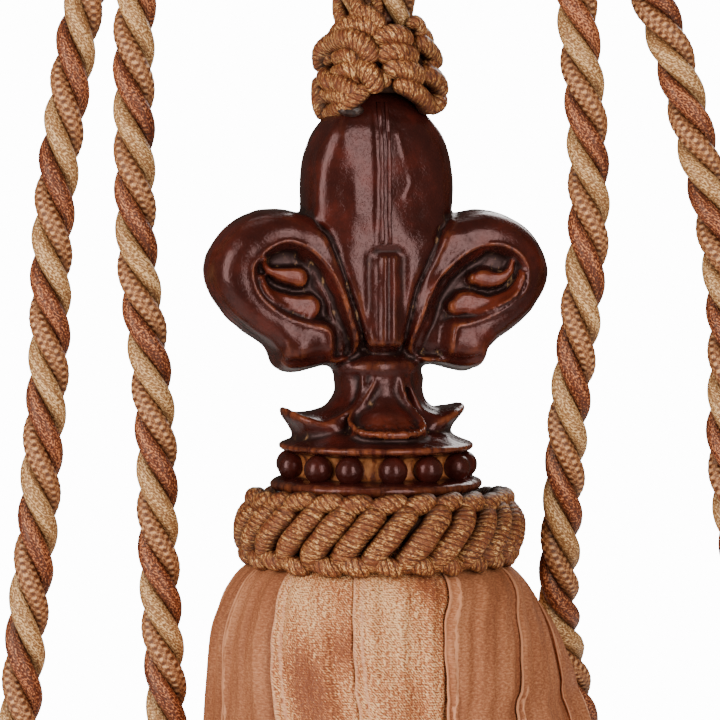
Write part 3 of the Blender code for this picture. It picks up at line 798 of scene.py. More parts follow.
# The section of its two ribs, as across and how far it stands out, and where they run: across, wander.
RIB_SECTION = (
    (-0.60, -0.30), (-0.54, 0.26), (-0.42, 0.48), (-0.30, 0.52), (-0.15, 0.525), (0.0, 0.53),
    (0.15, 0.525), (0.30, 0.51), (0.42, 0.46), (0.54, 0.26), (0.60, -0.30),
)
RIB_PLACES = ((-1.12, 1.0), (0.58, 0.6))

# The neck and the four leaves that flare below it: radius and height between the leaves, then at the
# middle of the left leaf (the front and back ones are alike), then at the middle of the right one.
FLARE = (
    (6.0, 34.0, 6.0, 34.0, 6.0, 34.0), (7.0, 31.2, 7.0, 31.2, 7.0, 31.2),
    (8.9, 30.2, 8.9, 30.2, 8.9, 30.2), (10.0, 29.4, 10.0, 29.4, 10.0, 29.4),
    (10.3, 28.3, 10.3, 28.3, 10.3, 28.3), (10.0, 27.2, 10.0, 27.2, 10.2, 27.2),
    (8.8, 26.5, 9.6, 26.5, 10.8, 26.5), (8.4, 25.6, 9.9, 25.6, 11.1, 25.6),
    (8.5, 24.0, 10.1, 24.0, 11.1, 24.0), (9.0, 21.8, 10.8, 22.2, 11.6, 22.0),
    (9.8, 19.6, 12.4, 20.5, 13.0, 20.3), (10.8, 17.8, 15.0, 19.6, 15.2, 20.0),
    (11.8, 16.6, 18.2, 19.2, 17.6, 20.3), (12.6, 15.8, 20.6, 19.0, 19.2, 20.1),
    (13.2, 15.2, 21.7, 18.4, 19.9, 19.3), (13.5, 14.7, 21.5, 17.4, 19.6, 18.2),
    (13.5, 14.2, 20.4, 15.8, 18.4, 16.6), (13.4, 13.8, 19.6, 14.4, 17.4, 15.2),
    (13.2, 13.2, 19.0, 13.2, 16.8, 13.8), (13.0, 12.4, 18.4, 12.2, 16.4, 12.4),
    (12.6, 10.6, 13.0, 10.6, 13.0, 10.6),
)
# The thin rims of the leaves: degrees from the front leaf's middle, radius, height.
LEFT_LEAF_RIM = (
    (-31.0, 9.5, 26.0), (-32.3, 9.9, 23.1), (-38.5, 11.4, 20.0), (-47.6, 13.1, 17.8), (-54.9, 16.2, 16.2),
    (-60.1, 17.8, 16.1), (-66.6, 19.3, 16.7), (-72.6, 20.5, 18.0), (-90.0, 21.5, 18.9),
)
RIGHT_LEAF_RIM = (
    (34.0, 9.5, 26.0), (39.0, 10.1, 22.9), (45.3, 11.6, 19.2), (50.0, 13.3, 17.8), (57.0, 15.5, 17.1),
    (64.0, 17.9, 17.6), (76.0, 19.5, 18.8), (90.0, 19.7, 19.5),
)
FRONT_LEAF_RIM = (
    (-14.0, 9.6, 25.9), (-21.0, 10.2, 23.2), (-29.0, 11.3, 20.4), (-37.0, 13.0, 18.4),
    (-35.0, 15.6, 16.6), (-24.0, 18.4, 14.8), (-12.0, 20.2, 14.0), (0.0, 20.8, 13.8), (12.0, 19.8, 14.1),
    (22.0, 17.6, 14.9), (30.0, 15.4, 16.2), (31.0, 12.6, 18.6), (26.0, 10.8, 21.2), (23.0, 9.8, 24.0),
    (22.0, 9.5, 26.0),
)
LEAF_RIM_RADIUS = 0.75
LEAVES_TOP, LEAVES_HEIGHT = 27.0, 12.0  # where the leaves start, and how far down they reach
LEAF_DISH = 1.0  # how deep the leaves are hollowed between their rims
FRONT_LEAF_DROOP = 0.72  # how far the front leaf's end hangs, as a part of its lift
FRONT_LEAF_FOOT = 13.6  # the height that it hangs towards
# Where the notches between the leaves lie, in degrees from the front leaf's middle, at the neck and at
# the leaves' ends.
NOTCHES_ABOVE = (-152.0, -26.0, 30.0, 152.0)
NOTCHES_BELOW = (-140.0, -40.0, 36.0, 140.0)

# The discs and the band between them: radius, height above the base. Then where the beads stand, in
# degrees from the front, and the stem in the collar.
BASE_PROFILE = (
    (0.0, 14.0), (14.0, 13.9), (16.2, 13.6), (17.6, 12.9), (19.0, 12.1), (20.8, 11.45), (21.9, 11.15),
    (22.3, 10.75), (22.2, 10.2), (21.4, 9.75), (19.0, 9.15), (18.3, 8.6), (18.05, 6.3), (18.3, 4.1),
    (19.2, 3.8), (21.4, 3.5), (23.2, 3.1), (24.0, 2.5), (24.15, 1.8), (23.7, 1.1), (22.6, 0.5),
    (0.0, 0.5),
)
BEAD_TURNS = (10.5, 35.5, 64.5, 88.5, 112.9, 138.6, 164.3, 190.0, 215.7, 241.5, 262.0, 286.5, 319.6, 342.8)
BEAD_RADIUS = 3.25
BEAD_RING_RADIUS = 19.6
BEAD_HEIGHT = 6.2
STEM_RADIUS = 22.6
STEM_DEPTH = 17.5
STEM_PROFILE = ((0.0, -0.4), (STEM_RADIUS, -0.5), (STEM_RADIUS, -STEM_DEPTH), (0.0, -STEM_DEPTH))


def middle_petal():
    table = curve_through(MIDDLE_PETAL, 5)
    angle = angles(96)
    power = 2 / PETAL_SQUARENESS
    across = np.sign(np.cos(angle)) * np.abs(np.cos(angle)) ** power
    deep = np.sign(np.sin(angle)) * np.abs(np.sin(angle)) ** power
    x, y = table[:, 1, None] * across, table[:, 2, None] * deep
    return np.stack([x, y, np.repeat(table[:, :1], 96, 1)], -1)[::-1]


def side_petal(mirror):
    outline = curve_through(SIDE_PETAL, 5, closed=True)
    section = curve_through(SIDE_PETAL_SECTION, 4)[1:]
    section = np.concatenate([section, section[::-1][1:] * (1, -1)])
    centre = np.array(SIDE_PETAL_CENTRE)
    rows = []
    for share, part in section:
        flat = centre + (outline - centre) * min(share, 1.0)
        rows.append(np.stack([mirror * flat[:, 0], 0 * flat[:, 0] - SIDE_PETAL_DEPTH * part, flat[:, 1]], 1))
    return np.stack(rows if mirror < 0 else rows[::-1])


def degrees_from_front(angle):
    return (np.degrees(angle) + 90 + 180) % 360 - 180


def leaf_phase(angle, share):
    """How far round its leaf each place is, -1 to 1 with 0 in the leaf's middle. share is 0 at the neck
    and 1 at the leaves' ends."""
    degrees = degrees_from_front(angle)
    notches = np.array(NOTCHES_ABOVE) * (1 - share) + np.array(NOTCHES_BELOW) * share
    phase = np.zeros(angle.shape)
    for start, end in zip([notches[3] - 360, *notches], [*notches, notches[0] + 360]):
        here = (degrees >= start) & (degrees < end)
        phase = np.where(here, (degrees - start) / (end - start) * 2 - 1, phase)
    return phase


def flare():
    """The neck and the four leaves below it."""
    angle = angles(240)
    from_front = degrees_from_front(angle)
    in_front = smoothstep(40.0, 32.0, np.abs(from_front + 1.0))
    on_right = smoothstep(28.0, 55.0, from_front) * smoothstep(150.0, 125.0, from_front)
    rows = []
    for low, low_height, left, left_height, right, right_height in curve_through(FLARE, 5):
        high = left + (right - left) * on_right
        high_height = left_height + (right_height - left_height) * on_right
        phase = np.abs(leaf_phase(angle, float(np.clip((LEAVES_TOP - low_height) / LEAVES_HEIGHT, 0, 1))))
        leaf = 1 - (1 - np.clip(np.cos(phase * math.pi / 2), 0, 1) ** 1.15) ** 1.6
        radius = low + (high - low) * leaf
        height = low_height + (high_height - low_height) * leaf**1.7
        notch = np.minimum(1 - phase, 1.0) * radius * math.pi / 4
        below_neck = float(np.clip((26.2 - low_height) / 1.6, 0, 1))
        dish = below_neck * smoothstep(15.0, 16.4, low_height) * LEAF_DISH
        radius = radius - below_neck * 1.3 * hill(notch, 0.8) - dish * 0.6 * smoothstep(1.6, 4.0, notch)
        height = height - dish * smoothstep(2.0, 5.0, notch)
        drooping = in_front * FRONT_LEAF_DROOP * smoothstep(12.5, 17.0, radius)
        rows.append(polar(radius, angle, height - drooping * (height - FRONT_LEAF_FOOT)))
    return np.stack(rows)[::-1]


def leaf_rims(shape):
    """Adds the thin rims of the four leaves."""
    left = [*LEFT_LEAF_RIM, *((-180 - turn, *rest) for turn, *rest in LEFT_LEAF_RIM[-2::-1])]
    right = [*RIGHT_LEAF_RIM, *((180 - turn, *rest) for turn, *rest in RIGHT_LEAF_RIM[-2::-1])]
    back = [(180 - turn, *rest) for turn, *rest in FRONT_LEAF_RIM]
    for rim in (left, right, FRONT_LEAF_RIM, back):
        turn, radius, height = np.array(rim).T
        path, along = smooth_route(polar(radius, np.radians(turn - 90), height), 0.6)
        tube(shape, path, along, np.full((len(path), 10), LEAF_RIM_RADIUS))


def turned(profile, segments):
    profile = np.array(profile, float)
    return polar(profile[:, :1], angles(segments), profile[:, 1:])[::-1]


def ripple_noise(points, size, seed):
    """Smooth noise from -1 to 1, from a few waves in random directions."""
    rng = np.random.default_rng(seed)
    total = np.zeros(len(points))
    for _ in range(7):
        direction = unit(rng.normal(size=3)) * rng.uniform(0.6, 1.5) / size
        total += np.sin(points @ direction * TAU + rng.uniform(0, TAU))
    return total / 3.2


def plates(x, z, leaves):
    """1 on the faces of the side petals' leaves, falling to 0 at their edges."""
    share = np.full(x.shape, 9.0)
    for leaf in leaves:
        gone, width = line_distance(x, z, curve_through(leaf, 5), widths=True)
        share = np.minimum(share, gone / np.maximum(width, 0.3))
    return np.sqrt(np.clip(1 - share**5, 0, 1))


def side_marks(x, z):
    """For each side petal, how far places are from its rim, crease and seam, whether they lie inside
    its rim, and its leaves."""
    for rim, crease, leaves, seam in SIDES:
        lines = [curve_through(line, 5) for line in (rim, crease, seam)]
        yield *(line_distance(x, z, line) for line in lines), inside_outline(x, z, lines[0]), leaves


def petal_low(z):
    """1 on the narrow lower part of the middle petal."""
    return smoothstep(53.6, 52.8, z) * smoothstep(31.0, 34.5, z)


def carve(x, z):
    """How far the side petals stand out from their plain form."""
    relief = np.zeros(len(x))
    for to_rim, to_crease, to_seam, inside, leaves in side_marks(x, z):
        relief += 0.3 * hill(to_rim, 0.6) - HOLLOW_DEPTH * smoothstep(0.3, 2.7, to_rim) * inside
        relief += (0.5 * hill(to_crease, 0.6) - 0.5 * hill(to_crease - 1.4, 0.7)) * inside
        relief += LEAF_RISE * plates(x, z, leaves) * inside - SEAM_DEPTH * hill(to_seam, 0.8)
    return relief


def tool_marks(x, z):
    """The thin ridges and cuts of the fleur-de-lis."""
    relief = np.zeros(len(x))
    for to_rim, to_crease, to_seam, inside, leaves in side_marks(x, z):
        flakes = 0.5 + 0.5 * np.sin(z * 1.7) * np.sin(z * 0.6 + x)
        relief += 0.32 * hill(to_rim, 0.42) + 0.4 * flakes * hill(to_crease, 0.42) * inside
        for leaf in leaves:
            gone, width = line_distance(x, z, curve_through(leaf, 5), widths=True)
            relief += 0.16 * hill(gone - width * 0.84, 0.3) * inside
        relief -= 0.5 * hill(to_seam, 0.5)
    relief -= 0.15 * hill(x + 2.4, 0.4) * smoothstep(54.6, 55.4, z) * smoothstep(86.4, 85.2, z)
    relief -= 0.45 * hill(x - 0.35, 0.4) * petal_low(z)
    drip = 0.22 * hill(line_distance(x, z, curve_through(PETAL_DRIP, 4)), 0.36)
    return relief + drip * (0.35 + 0.65 * smoothstep(1.2, 2.4, np.abs(z - 72.6)))


def petal_relief(x, z):
    """The hand-worked planes and the flutes of the middle petal."""
    on_petal = smoothstep(1.0, 0.0, np.abs(x) - np.interp(z, *PETAL_FACE))
    slanted = x - 0.45 * np.clip(z - 74.0, -9.0, 9.0) * smoothstep(-7.0, -10.0, x)
    relief = np.interp(slanted, *np.array(PETAL_PLANES).T)
    relief *= smoothstep(57.0, 63.0, z) * smoothstep(89.0, 83.0, z)
    relief += 0.75 * smoothstep(2.1, 1.5, np.abs(x - 0.4)) * petal_low(z)
    relief -= 0.45 * (hill(x - 3.9, 0.6) + hill(x + 4.1, 0.6)) * petal_low(z)
    relief -= 0.55 * hill(z - 54.1, 0.75) * smoothstep(4.0, 2.4, np.abs(x - 0.2))
    return relief * on_petal


def tail_relief(x, z):
    """The swellings and cuts of the side petals' tails."""
    relief = 0.9 * hill(np.hypot(x + 19.0, z - 32.6), 2.9) + 0.5 * hill(np.hypot(x - 20.0, z - 32.6), 2.9)
    for depth, line in (
        (-0.9, ((-13.0, 30.6), (-17.0, 29.8), (-22.5, 29.8))),
        (-0.9, ((13.0, 30.8), (17.0, 29.8), (21.5, 30.6))),
        (0.5, ((13.2, 38.0), (13.2, 33.0))),
    ):
        relief += depth * hill(line_distance(x, z, line), 0.7)
    return relief


def fill_between(points):
    """Moves the points between the seams onto the middle petal's face."""
    x, y, z = points.T
    left, right = (np.abs(seam[::-1]).T for seam in (LEFT_SEAM, RIGHT_SEAM))
    width = np.where(x < 0, np.interp(z, left[1], left[0]), np.interp(z, right[1], right[0]))
    power = PETAL_SQUARENESS + 5.4 * smoothstep(61.0, 50.0, z)
    face = PETAL_DEPTH * (1 - np.clip(np.abs(x) / (width + 1.0), 0, 0.995) ** power) ** (1 / power)
    between = (np.abs(x) < width) & (np.abs(y) > 4.0)
    between = between * smoothstep(61.5, 59.0, z) * smoothstep(31.5, 34.0, z)
    points[:, 1] = np.sign(y) * (np.abs(y) + (face - np.abs(y)) * between)


def petal_ribs(shape, points):
    """Adds the middle petal's two flat-topped ribs, laid on its front and back faces."""
    heights = np.arange(55.6, 87.6, 0.5)
    section = np.array(RIB_SECTION)
    for side in (-1, 1):
        face = points[points[:, 1] * side > 3.0]
        for across, wander in RIB_PLACES:
            middle = across + wander * smoothstep(77.0, 71.0, heights) * (
                0.05 * np.sin(heights * 0.9) + 0.03 * np.sin(heights * 2.3 + 1))
            depth = []
            for x, z in zip(middle, heights):
                near = face[(np.abs(face[:, 0] - x) < 0.7) & (np.abs(face[:, 2] - z) < 0.7)]
                depth.append(np.abs(near[:, 1]).mean() if len(near) else depth[-1])
            depth = np.convolve(np.pad(depth, 2, "edge"), np.ones(5) / 5, "valid")
            end = smoothstep(55.0, 57.0, heights) * smoothstep(88.0, 86.0, heights)
            lift = end * (1 + 0.25 * np.sin(heights * 1.3 + across)) + 0.5 * smoothstep(79.0, 86.0, heights)
            width = 0.9 + 0.12 * np.sin(heights * 0.7 + across)
            rows = np.stack([
                middle[:, None] + section[:, 0] * width[:, None],
                side * (depth[:, None] + section[:, 1] * lift[:, None]),
                np.repeat(heights[:, None], len(section), 1),
            ], -1)
            shape.add(rows if side > 0 else rows[::-1])


def remeshed(made, grain, times):
    """Covers an object's parts with one even surface and eases it. Gives its points and edges."""
    modifier = made.modifiers.new("surface", "REMESH")
    modifier.mode = "VOXEL"
    modifier.voxel_size = grain * MM
    modifier.use_smooth_shade = True
    apply_modifiers(made)
    edges = read(made.data.edges, "vertices", 2, np.int32)
    points = eased(read_points(made.data), edges, times)
    write_points(made.data, points)
    return points, edges


def finial_body():
    """The moulded fleur-de-lis with its neck, leaves and discs, not yet turned or set in its place."""
    shape = Shape()
    for rows in (middle_petal(), side_petal(-1), side_petal(1), flare(), turned(BASE_PROFILE, 160)):
        shape.add(rows)
    leaf_rims(shape)
    made = shape.make("finial_body", [])
    points, edges = remeshed(made, BODY_GRAIN, 3)
    x, height = points[:, 0], points[:, 2]
    out = read_normals(made.data)[:, 1]
    fleur = smoothstep(29.4, 31.4, height)
    tails = smoothstep(26.5, 28.0, height) * smoothstep(11.5, 13.5, np.abs(x))
    fill_between(points)
    relief = (carve(x, height) + petal_relief(x, height)) * np.maximum(fleur, tails)
    relief += tail_relief(x, height) * tails
    points[:, 1] += relief * np.sign(out) * smoothstep(0.25, 0.75, np.abs(out))
    write_points(made.data, points)
    points, edges = remeshed(made, FINIAL_GRAIN, 1)
    x, height = points[:, 0], points[:, 2]
    out = read_normals(made.data)[:, 1]
    facing = np.sign(out) * smoothstep(0.15, 0.6, np.abs(out))
    points[:, 1] += tool_marks(x, height) * smoothstep(29.4, 31.4, height) * facing
    write_points(made.data, points)
    finish_surface(made.data, points, edges)
    return made


def finish_surface(mesh, points, edges):
    """Roughens the finial's surface as if worked by hand, and notes where its lacquer is rubbed."""
    normals = read_normals(mesh)
    x, y, height = points.T
    radius = np.hypot(x, y)
    front_lip = smoothstep(-12.0, -15.0, y) * smoothstep(13.0, 14.0, height) * smoothstep(19.0, 17.0, height)
    front_lip = front_lip * smoothstep(10.5, 8.5, np.abs(x + 0.5))
    worked = 0.10 * ripple_noise(points, 9.0, 3) + 0.05 * ripple_noise(points, 3.4, 4)
    worked += 0.16 * front_lip * ripple_noise(points, 1.5, 5)
    points = points + normals * worked[:, None]
    soft = eased(points, edges, 24)
    broad = eased(soft, edges, 70)
    by_ribs = smoothstep(2.6, 2.0, np.abs(x + 0.3)) * smoothstep(55.0, 60.0, height)
    on_leaves = plates(x, height, (*LEFT_LEAVES, *RIGHT_LEAVES)) * (np.abs(normals[:, 1]) > 0.3)
    band = smoothstep(3.4, 4.4, height) * smoothstep(9.4, 8.6, height)
    set_attribute(mesh, "edge", np.sum((points - soft) * normals, axis=1) * (1 - 0.75 * by_ribs))
    set_attribute(mesh, "form", np.sum((soft - broad) * normals, axis=1))
    set_attribute(mesh, "gilt", smoothstep(19.6, 18.6, radius) * smoothstep(16.0, 17.5, radius) * band)
    set_attribute(mesh, "warm", np.maximum(on_leaves, 0.8 * front_lip))
    write_points(mesh, points)


def place_finial(points):
    """Turns points of the unturned finial to where it stands."""
    x, y, height = points.T
    cosine, sine = math.cos(FINIAL_TURN), math.sin(FINIAL_TURN)
    return np.stack([x * cosine - y * sine, x * sine + y * cosine, height + BASE_Z], 1)


def finial():
    """The moulded finial, as one piece with its ribs, beads and stem."""
    made = finial_body()
    body = read_points(made.data)
    rest = Shape()
    petal_ribs(rest, body)
    rest.points = [place_finial(rows) for rows in rest.points]
    write_points(made.data, place_finial(body))
    for turn in BEAD_TURNS:
        angle = math.radians(turn - 90)
        slope = np.linspace(-math.pi / 2 + 0.06, math.pi / 2 - 0.06, 17)[:, None]
        bead = polar(BEAD_RADIUS * np.cos(slope), angles(28), BEAD_RADIUS * 0.98 * np.sin(slope))
        rest.add(bead + polar(BEAD_RING_RADIUS, angle, BASE_Z + BEAD_HEIGHT))
    rest.add(turned(STEM_PROFILE, 64) + (0.0, 0.0, BASE_Z))
    beads = rest.make("finial_beads", [])
    joined = bmesh.new()
    joined.from_mesh(made.data)
    joined.from_mesh(beads.data)
    joined.to_mesh(made.data)
    joined.free()
    bpy.data.objects.remove(beads, do_unlink=True)
    made.name = "lacquered_finial"
    made.data.materials.clear()
    made.data.materials.append(lacquer_material())
    made.data.shade_smooth()
    dress(made, "finial")


# ---------------------------------------------------------------- knots

COLLAR_COUNT = 26
COLLAR_SHIFT = 0.6  # how far right of the axis it sits
COLLAR_SINK = 1.5  # how much lower its top lies at the sides than in front
COLLAR_CORE = (26.0, -5.4, 3.0, 2.8)  # its inner ring, near-black as painted shade between the strands: radius, height, half width, half height
# The collar's strands, as steps round it in strands' pitches, height above the base, radius.
COLLAR_STRAND_LINE = (
    (-0.80, -13.4, 26.2), (-0.70, -12.2, 28.6), (-0.52, -10.2, 30.0), (-0.22, -7.6, 30.4),
    (0.10, -4.8, 29.9), (0.36, -2.8, 28.8), (0.56, -1.9, 26.8),
)
COLLAR_TOP_LINE = (
    (0.26, -2.4, 26.2), (0.42, -1.0, 27.8), (0.74, -0.1, 28.3), (1.06, 0.2, 27.7), (1.22, 0.2, 26.0),
)
COLLAR_FOOT_LINE = (
    (-0.98, -11.2, 26.6), (-0.72, -12.1, 28.6), (-0.36, -13.1, 29.5), (-0.04, -13.8, 29.1),
    (0.18, -13.9, 26.8),
)
# For each kind of strand its line, its radius and how loosely it lies.
COLLAR_STRANDS = (
    (COLLAR_STRAND_LINE, 2.75, 0.34), (COLLAR_TOP_LINE, 2.2, 0.6), (COLLAR_FOOT_LINE, 2.25, 0.6))

KNOT_RADIUS = 11.3  # how far from its middle its front strands lie, near its foot
KNOT_SHIFT = 0.9  # how far right of the axis it sits
KNOT_ORIGIN = -30.0  # the height that the knot's strands are measured from
KNOT_LIFT = 3.6  # how much higher its lowest strands lie behind
# The near-black core inside it, painted shade in the gaps between its strands: radius, height.
KNOT_CORE = ((1.0, -4.2), (7.6, -5.0), (9.6, -8.0), (10.2, -13.0), (10.0, -17.0), (9.4, -19.5))
# The top knot's strands that face the front: radius, then across, height, and how far the strand's
# middle stands out from the knot's round.
KNOT_FRONT = (
    (2.5, ((-11.6, -14.6, -1.0), (-11.9, -10.8, 0.4), (-9.6, -8.4, 1.0), (-5.4, -8.0, 1.3),
     (-2.2, -10.2, 1.2), (-0.9, -13.4, 0.0))),
    (2.3, ((-9.2, -7.0, -1.4), (-6.2, -5.0, -0.2), (-2.4, -5.2, 0.2), (0.4, -7.0, -0.8))),
    (2.1, ((-9.4, -16.0, -1.6), (-6.4, -14.6, 0.2), (-4.0, -15.6, -0.6), (-3.0, -16.6, -1.8))),
    (2.5, ((-3.9, -13.6, -1.4), (-2.0, -15.2, 0.6), (-0.6, -17.4, 0.9), (-0.2, -19.6, -0.6))),
    (2.3, ((0.0, -8.8, -1.6), (1.6, -7.4, 0.4), (4.6, -7.3, 0.9), (7.2, -9.0, -0.9))),
    (2.5, ((1.2, -12.4, -1.6), (2.6, -11.0, 0.6), (5.2, -11.0, 1.0), (8.4, -12.4, -0.9))),
    (2.5, ((2.6, -15.4, -1.6), (4.0, -14.4, 0.4), (7.0, -14.9, 0.9), (9.6, -16.8, -0.9))),
    (2.2, ((8.0, -8.2, -1.4), (10.6, -9.2, 0.5), (12.7, -11.6, 0.3), (13.3, -13.9, -1.2))),
    (2.3, ((10.4, -14.2, -1.4), (12.4, -15.4, 0.3), (13.8, -17.8, 0.5), (13.9, -20.2, -1.0))),
    (2.2, ((3.6, -17.7, -1.2), (6.6, -18.5, 0.3), (9.8, -20.5, 0.6), (11.8, -23.0, -0.6))),
    (2.1, ((13.4, -18.6, -1.0), (13.0, -21.0, 0.4), (12.0, -23.2, 0.0))),
    (2.3, ((-12.0, -15.8, -1.0), (-12.4, -19.0, 0.6), (-11.9, -22.4, 0.6), (-10.8, -25.0, -0.8))),
    (2.3, ((-11.0, -16.8, -1.2), (-8.2, -17.4, 0.6), (-5.6, -19.2, 0.9), (-3.8, -21.0, -0.4))),
    (2.1, ((-11.0, -19.8, -0.6), (-8.6, -20.2, 1.0), (-6.4, -21.2, 1.2), (-5.0, -22.0, 0.2))),
    (1.9, ((-12.6, -22.8, -0.8), (-10.2, -23.7, 0.8), (-7.0, -22.6, 1.3), (-4.0, -20.6, 1.1),
     (-1.8, -18.4, -0.4))),
    (1.6, ((6.6, -5.2, -0.8), (8.6, -4.2, 0.6), (9.6, -5.8, 0.6), (8.6, -7.4, -0.6))),
    (2.0, ((-8.8, -12.2, -1.8), (-6.6, -11.4, 0.0), (-4.6, -12.2, -0.4), (-3.6, -13.4, -1.6))),
    (1.7, ((-6.2, -16.6, -1.8), (-4.6, -17.8, -0.4), (-2.8, -18.4, -1.4))),
    (1.8, ((0.6, -14.6, -1.6), (1.4, -16.6, -0.6), (2.6, -18.2, -1.6))),
    (1.9, ((-7.6, 3.4, -3.2), (-8.0, 0.0, -2.2), (-7.4, -3.2, -1.4), (-6.0, -5.6, -1.2))),
    (1.7, ((-6.8, 3.4, -1.6), (-5.0, 1.0, -0.4), (-3.6, -1.6, 0.2), (-2.6, -4.0, 0.0))),
    (1.7, ((-5.6, -2.6, -0.6), (-2.6, -2.2, 0.6), (0.4, -4.2, 0.6), (1.0, -6.4, -0.4))),
    (1.6, ((0.1, 3.6, -6.5), (0.2, 0.4, -5.5), (0.3, -3.0, -4.5))),
)
# The rows of strands at its sides and back: height, how many would go round, reach.
KNOT_ROWS = ((-7.6, 9, 9.2), (-12.0, 10, 10.9), (-16.4, 10, 11.7), (-21.0, 10, 12.1))
KNOT_ROW_RADIUS = 2.45
KNOT_ROW_START = -0.55  # the sine of the turn where those rows start, -1 in front and 0 at the side
# A drop of dark glue under the knot's left side: across, height, how far it stands out, size.
GLUE = (-5.6, -23.7, 0.6, (2.9, 1.5, 1.4))


def gimp(shape, points, radius, taper, wound, start=(0.0, 0.0, 1.0), spacing=0.27, sides=16, axis=0.0):
    """Adds a length of gimp cord along a smooth curve: a core wound round with thread, its wraps
    standing out as fine slanting ridges and its ends drawn in over the length taper. wound is where
    its thread starts, in turns."""
    path, along = smooth_route(points, spacing)
    end = np.minimum(along, along[-1] - along)
    drawn = np.sqrt(np.clip(1 - (1 - np.clip(end / taper, 0, 1)) ** 2, 0.02, 1))
    place = along[:, None] / THREAD_PITCH - THREAD_STARTS * np.arange(sides) / sides + wound
    relief = THREAD_RELIEF * (np.abs(np.sin(math.pi * place)) - 0.6)
    swell = 1 + 0.035 * np.sin(along * 0.9 + wound * 5)
    size = radius * (drawn * swell)[:, None] + relief * drawn[:, None]
    tube(shape, path, along + wound * 40, size, 0, start, axis=axis)


def collar():
    """The knotted ring of gimp cord over the ribbons' tops."""
    rng = np.random.default_rng(11)
    shape = Shape()
    step = np.linspace(0, TAU, 21)[:, None]
    ring, level, half_width, half_height = COLLAR_CORE
    core = (ring + half_width * np.cos(step), angles(96), BASE_Z + level + half_height * np.sin(step))
    # the near-black core: painted shade between the strands
    shape.add(polar(*core, COLLAR_SHIFT), slot=1, capped=False)
    pitch = TAU / COLLAR_COUNT
    for number in range(COLLAR_COUNT):
        middle = -math.pi / 2 + (number + 0.5) * pitch
        for line, radius, loose in COLLAR_STRANDS:
            slip = rng.uniform(-0.10, 0.10, 3)
            step, height, reach = np.array(line).T
            at = middle + (step + 0.6 * slip[0]) * pitch
            sink = COLLAR_SINK * (1 + np.sin(at)) * smoothstep(-11.0, -1.0, height)
            points = polar(
                reach + slip[1] * loose * 5, at, BASE_Z + height - sink + slip[2] * loose * 5, COLLAR_SHIFT)
            gimp(shape, points, radius * rng.uniform(0.94, 1.05), 2.6, rng.uniform(0, 7))
    dress(shape.make("gimp_collar", [gimp_material(), shade_core_material()]), "collar")


def knot_place(x, height, out):
    """A place on the front of the top knot's round, and out from it."""
    radius = KNOT_RADIUS - 1.6 * max(0.0, height / 26.0 + 0.45)
    inside = radius * radius - (x - KNOT_SHIFT) ** 2
    return x, -(math.sqrt(inside) if inside > 1 else 1.0) - out, KNOT_ORIGIN + height


def top_knot():
    """The knot over the finial's top."""
    rng = np.random.default_rng(5)
    shape = Shape()
    core = np.array(KNOT_CORE)
    # the near-black core: painted shade between the strands
    shape.add(polar(core[:, :1], angles(64), KNOT_ORIGIN + core[:, 1:], KNOT_SHIFT)[::-1], slot=1)
    for radius, line in KNOT_FRONT:
        points = [knot_place(*place) for place in line]
        gimp(shape, points, radius, 2.0, rng.uniform(0, 7), (0.0, 1.0, 0.0), 0.25, 14, KNOT_SHIFT)
    for row, (height, count, reach) in enumerate(KNOT_ROWS):
        for number in range(count):
            at = -math.pi / 2 + TAU * (number + 0.5 * (row % 2)) / count
            if math.sin(at) < KNOT_ROW_START:
                continue
            lean = 1.44 if row % 2 else -1.44
            points = []
            for step, out in ((-1.0, -1.5), (-0.45, 0.3), (0.45, 0.3), (1.0, -1.5)):
                turn = at + step * math.pi / count * 1.05
                lift = KNOT_LIFT * max(0.0, math.sin(turn)) ** 2 if row == 3 else 0.0
                far = reach + out + rng.uniform(-0.2, 0.2)
                points.append(polar(far, turn, KNOT_ORIGIN + height + lean * step + lift, KNOT_SHIFT))
            wound = rng.uniform(0, 7)
            gimp(shape, points, KNOT_ROW_RADIUS, 2.0, wound, (0.0, 0.0, 1.0), 0.25, 14, KNOT_SHIFT)
    *place, size = GLUE
    tilt = np.linspace(0.12, math.pi - 0.12, 9)[:, None]
    around = angles(14)
    reach = np.sin(tilt) * (1 + 0.10 * np.sin(3 * around + 4 * tilt))
    drop = np.stack([np.cos(tilt) + 0 * around, -reach * np.cos(around), reach * np.sin(around)], -1)
    shape.add(knot_place(*place) + drop * size, slot=2)
    dress(shape.make("gimp_knot", [gimp_material(), shade_core_material(), glue_material()]), "top_knot")


# ---------------------------------------------------------------- ribbons

RIBBON_COUNT = 13
SATIN = (-1, 0, 4, 5, 8, 9)  # the numbers of the satin ribbons; -1 and 0 are the two in front
RIBBON_START = math.radians(-8.3 - 90)  # where ribbon 0 starts, but for half the overlap
RIBBON_OVERLAP = math.radians(2.4)
RIBBON_THICKNESS = 0.35
# How far a ribbon's first edge stands out and its last edge lies in, so that it laps over its neighbour.
SATIN_SHINGLE, ORGANZA_SHINGLE = 0.9, 0.3
# How the ribbons crowd away from the front where they are gathered, and how much of that there is at
# each height above the base.
TOP_SPREAD, TOP_SHIFT = 0.30, 0.29
TOP_SHARE = (
    (-110.0, 0.0), (-51.0, -0.3), (-40.0, -0.05), (-30.6, 0.24), (-24.6, 0.5), (-20.0, 0.9), (-15.0, 1.2),
)
RIBBON_BOW = 1.2
RIBBON_BUCKLE = 0.55
RIBBON_RIPPLE = 0.7
RIBBON_OPENING = 40.0  # how far down the ribbons reach their full width
HEM_UNEVEN = 1.6
# Painted shade on the front satin ribbons, where they would turn from the light: ribbon, share across,
# height above the base, reach across, reach down, depth.
PAINTED_SATIN_SHADE = (
    (-1, 0.42, -36.0, 0.21, 8.0, 1.0), (-1, 0.80, -30.5, 0.16, 4.0, 0.8),
    (-1, 0.34, -52.0, 0.26, 9.0, 0.8), (0, 0.72, -17.5, 0.16, 3.5, 0.7), (0, 0.40, -60.0, 0.24, 9.0, 0.7),
)
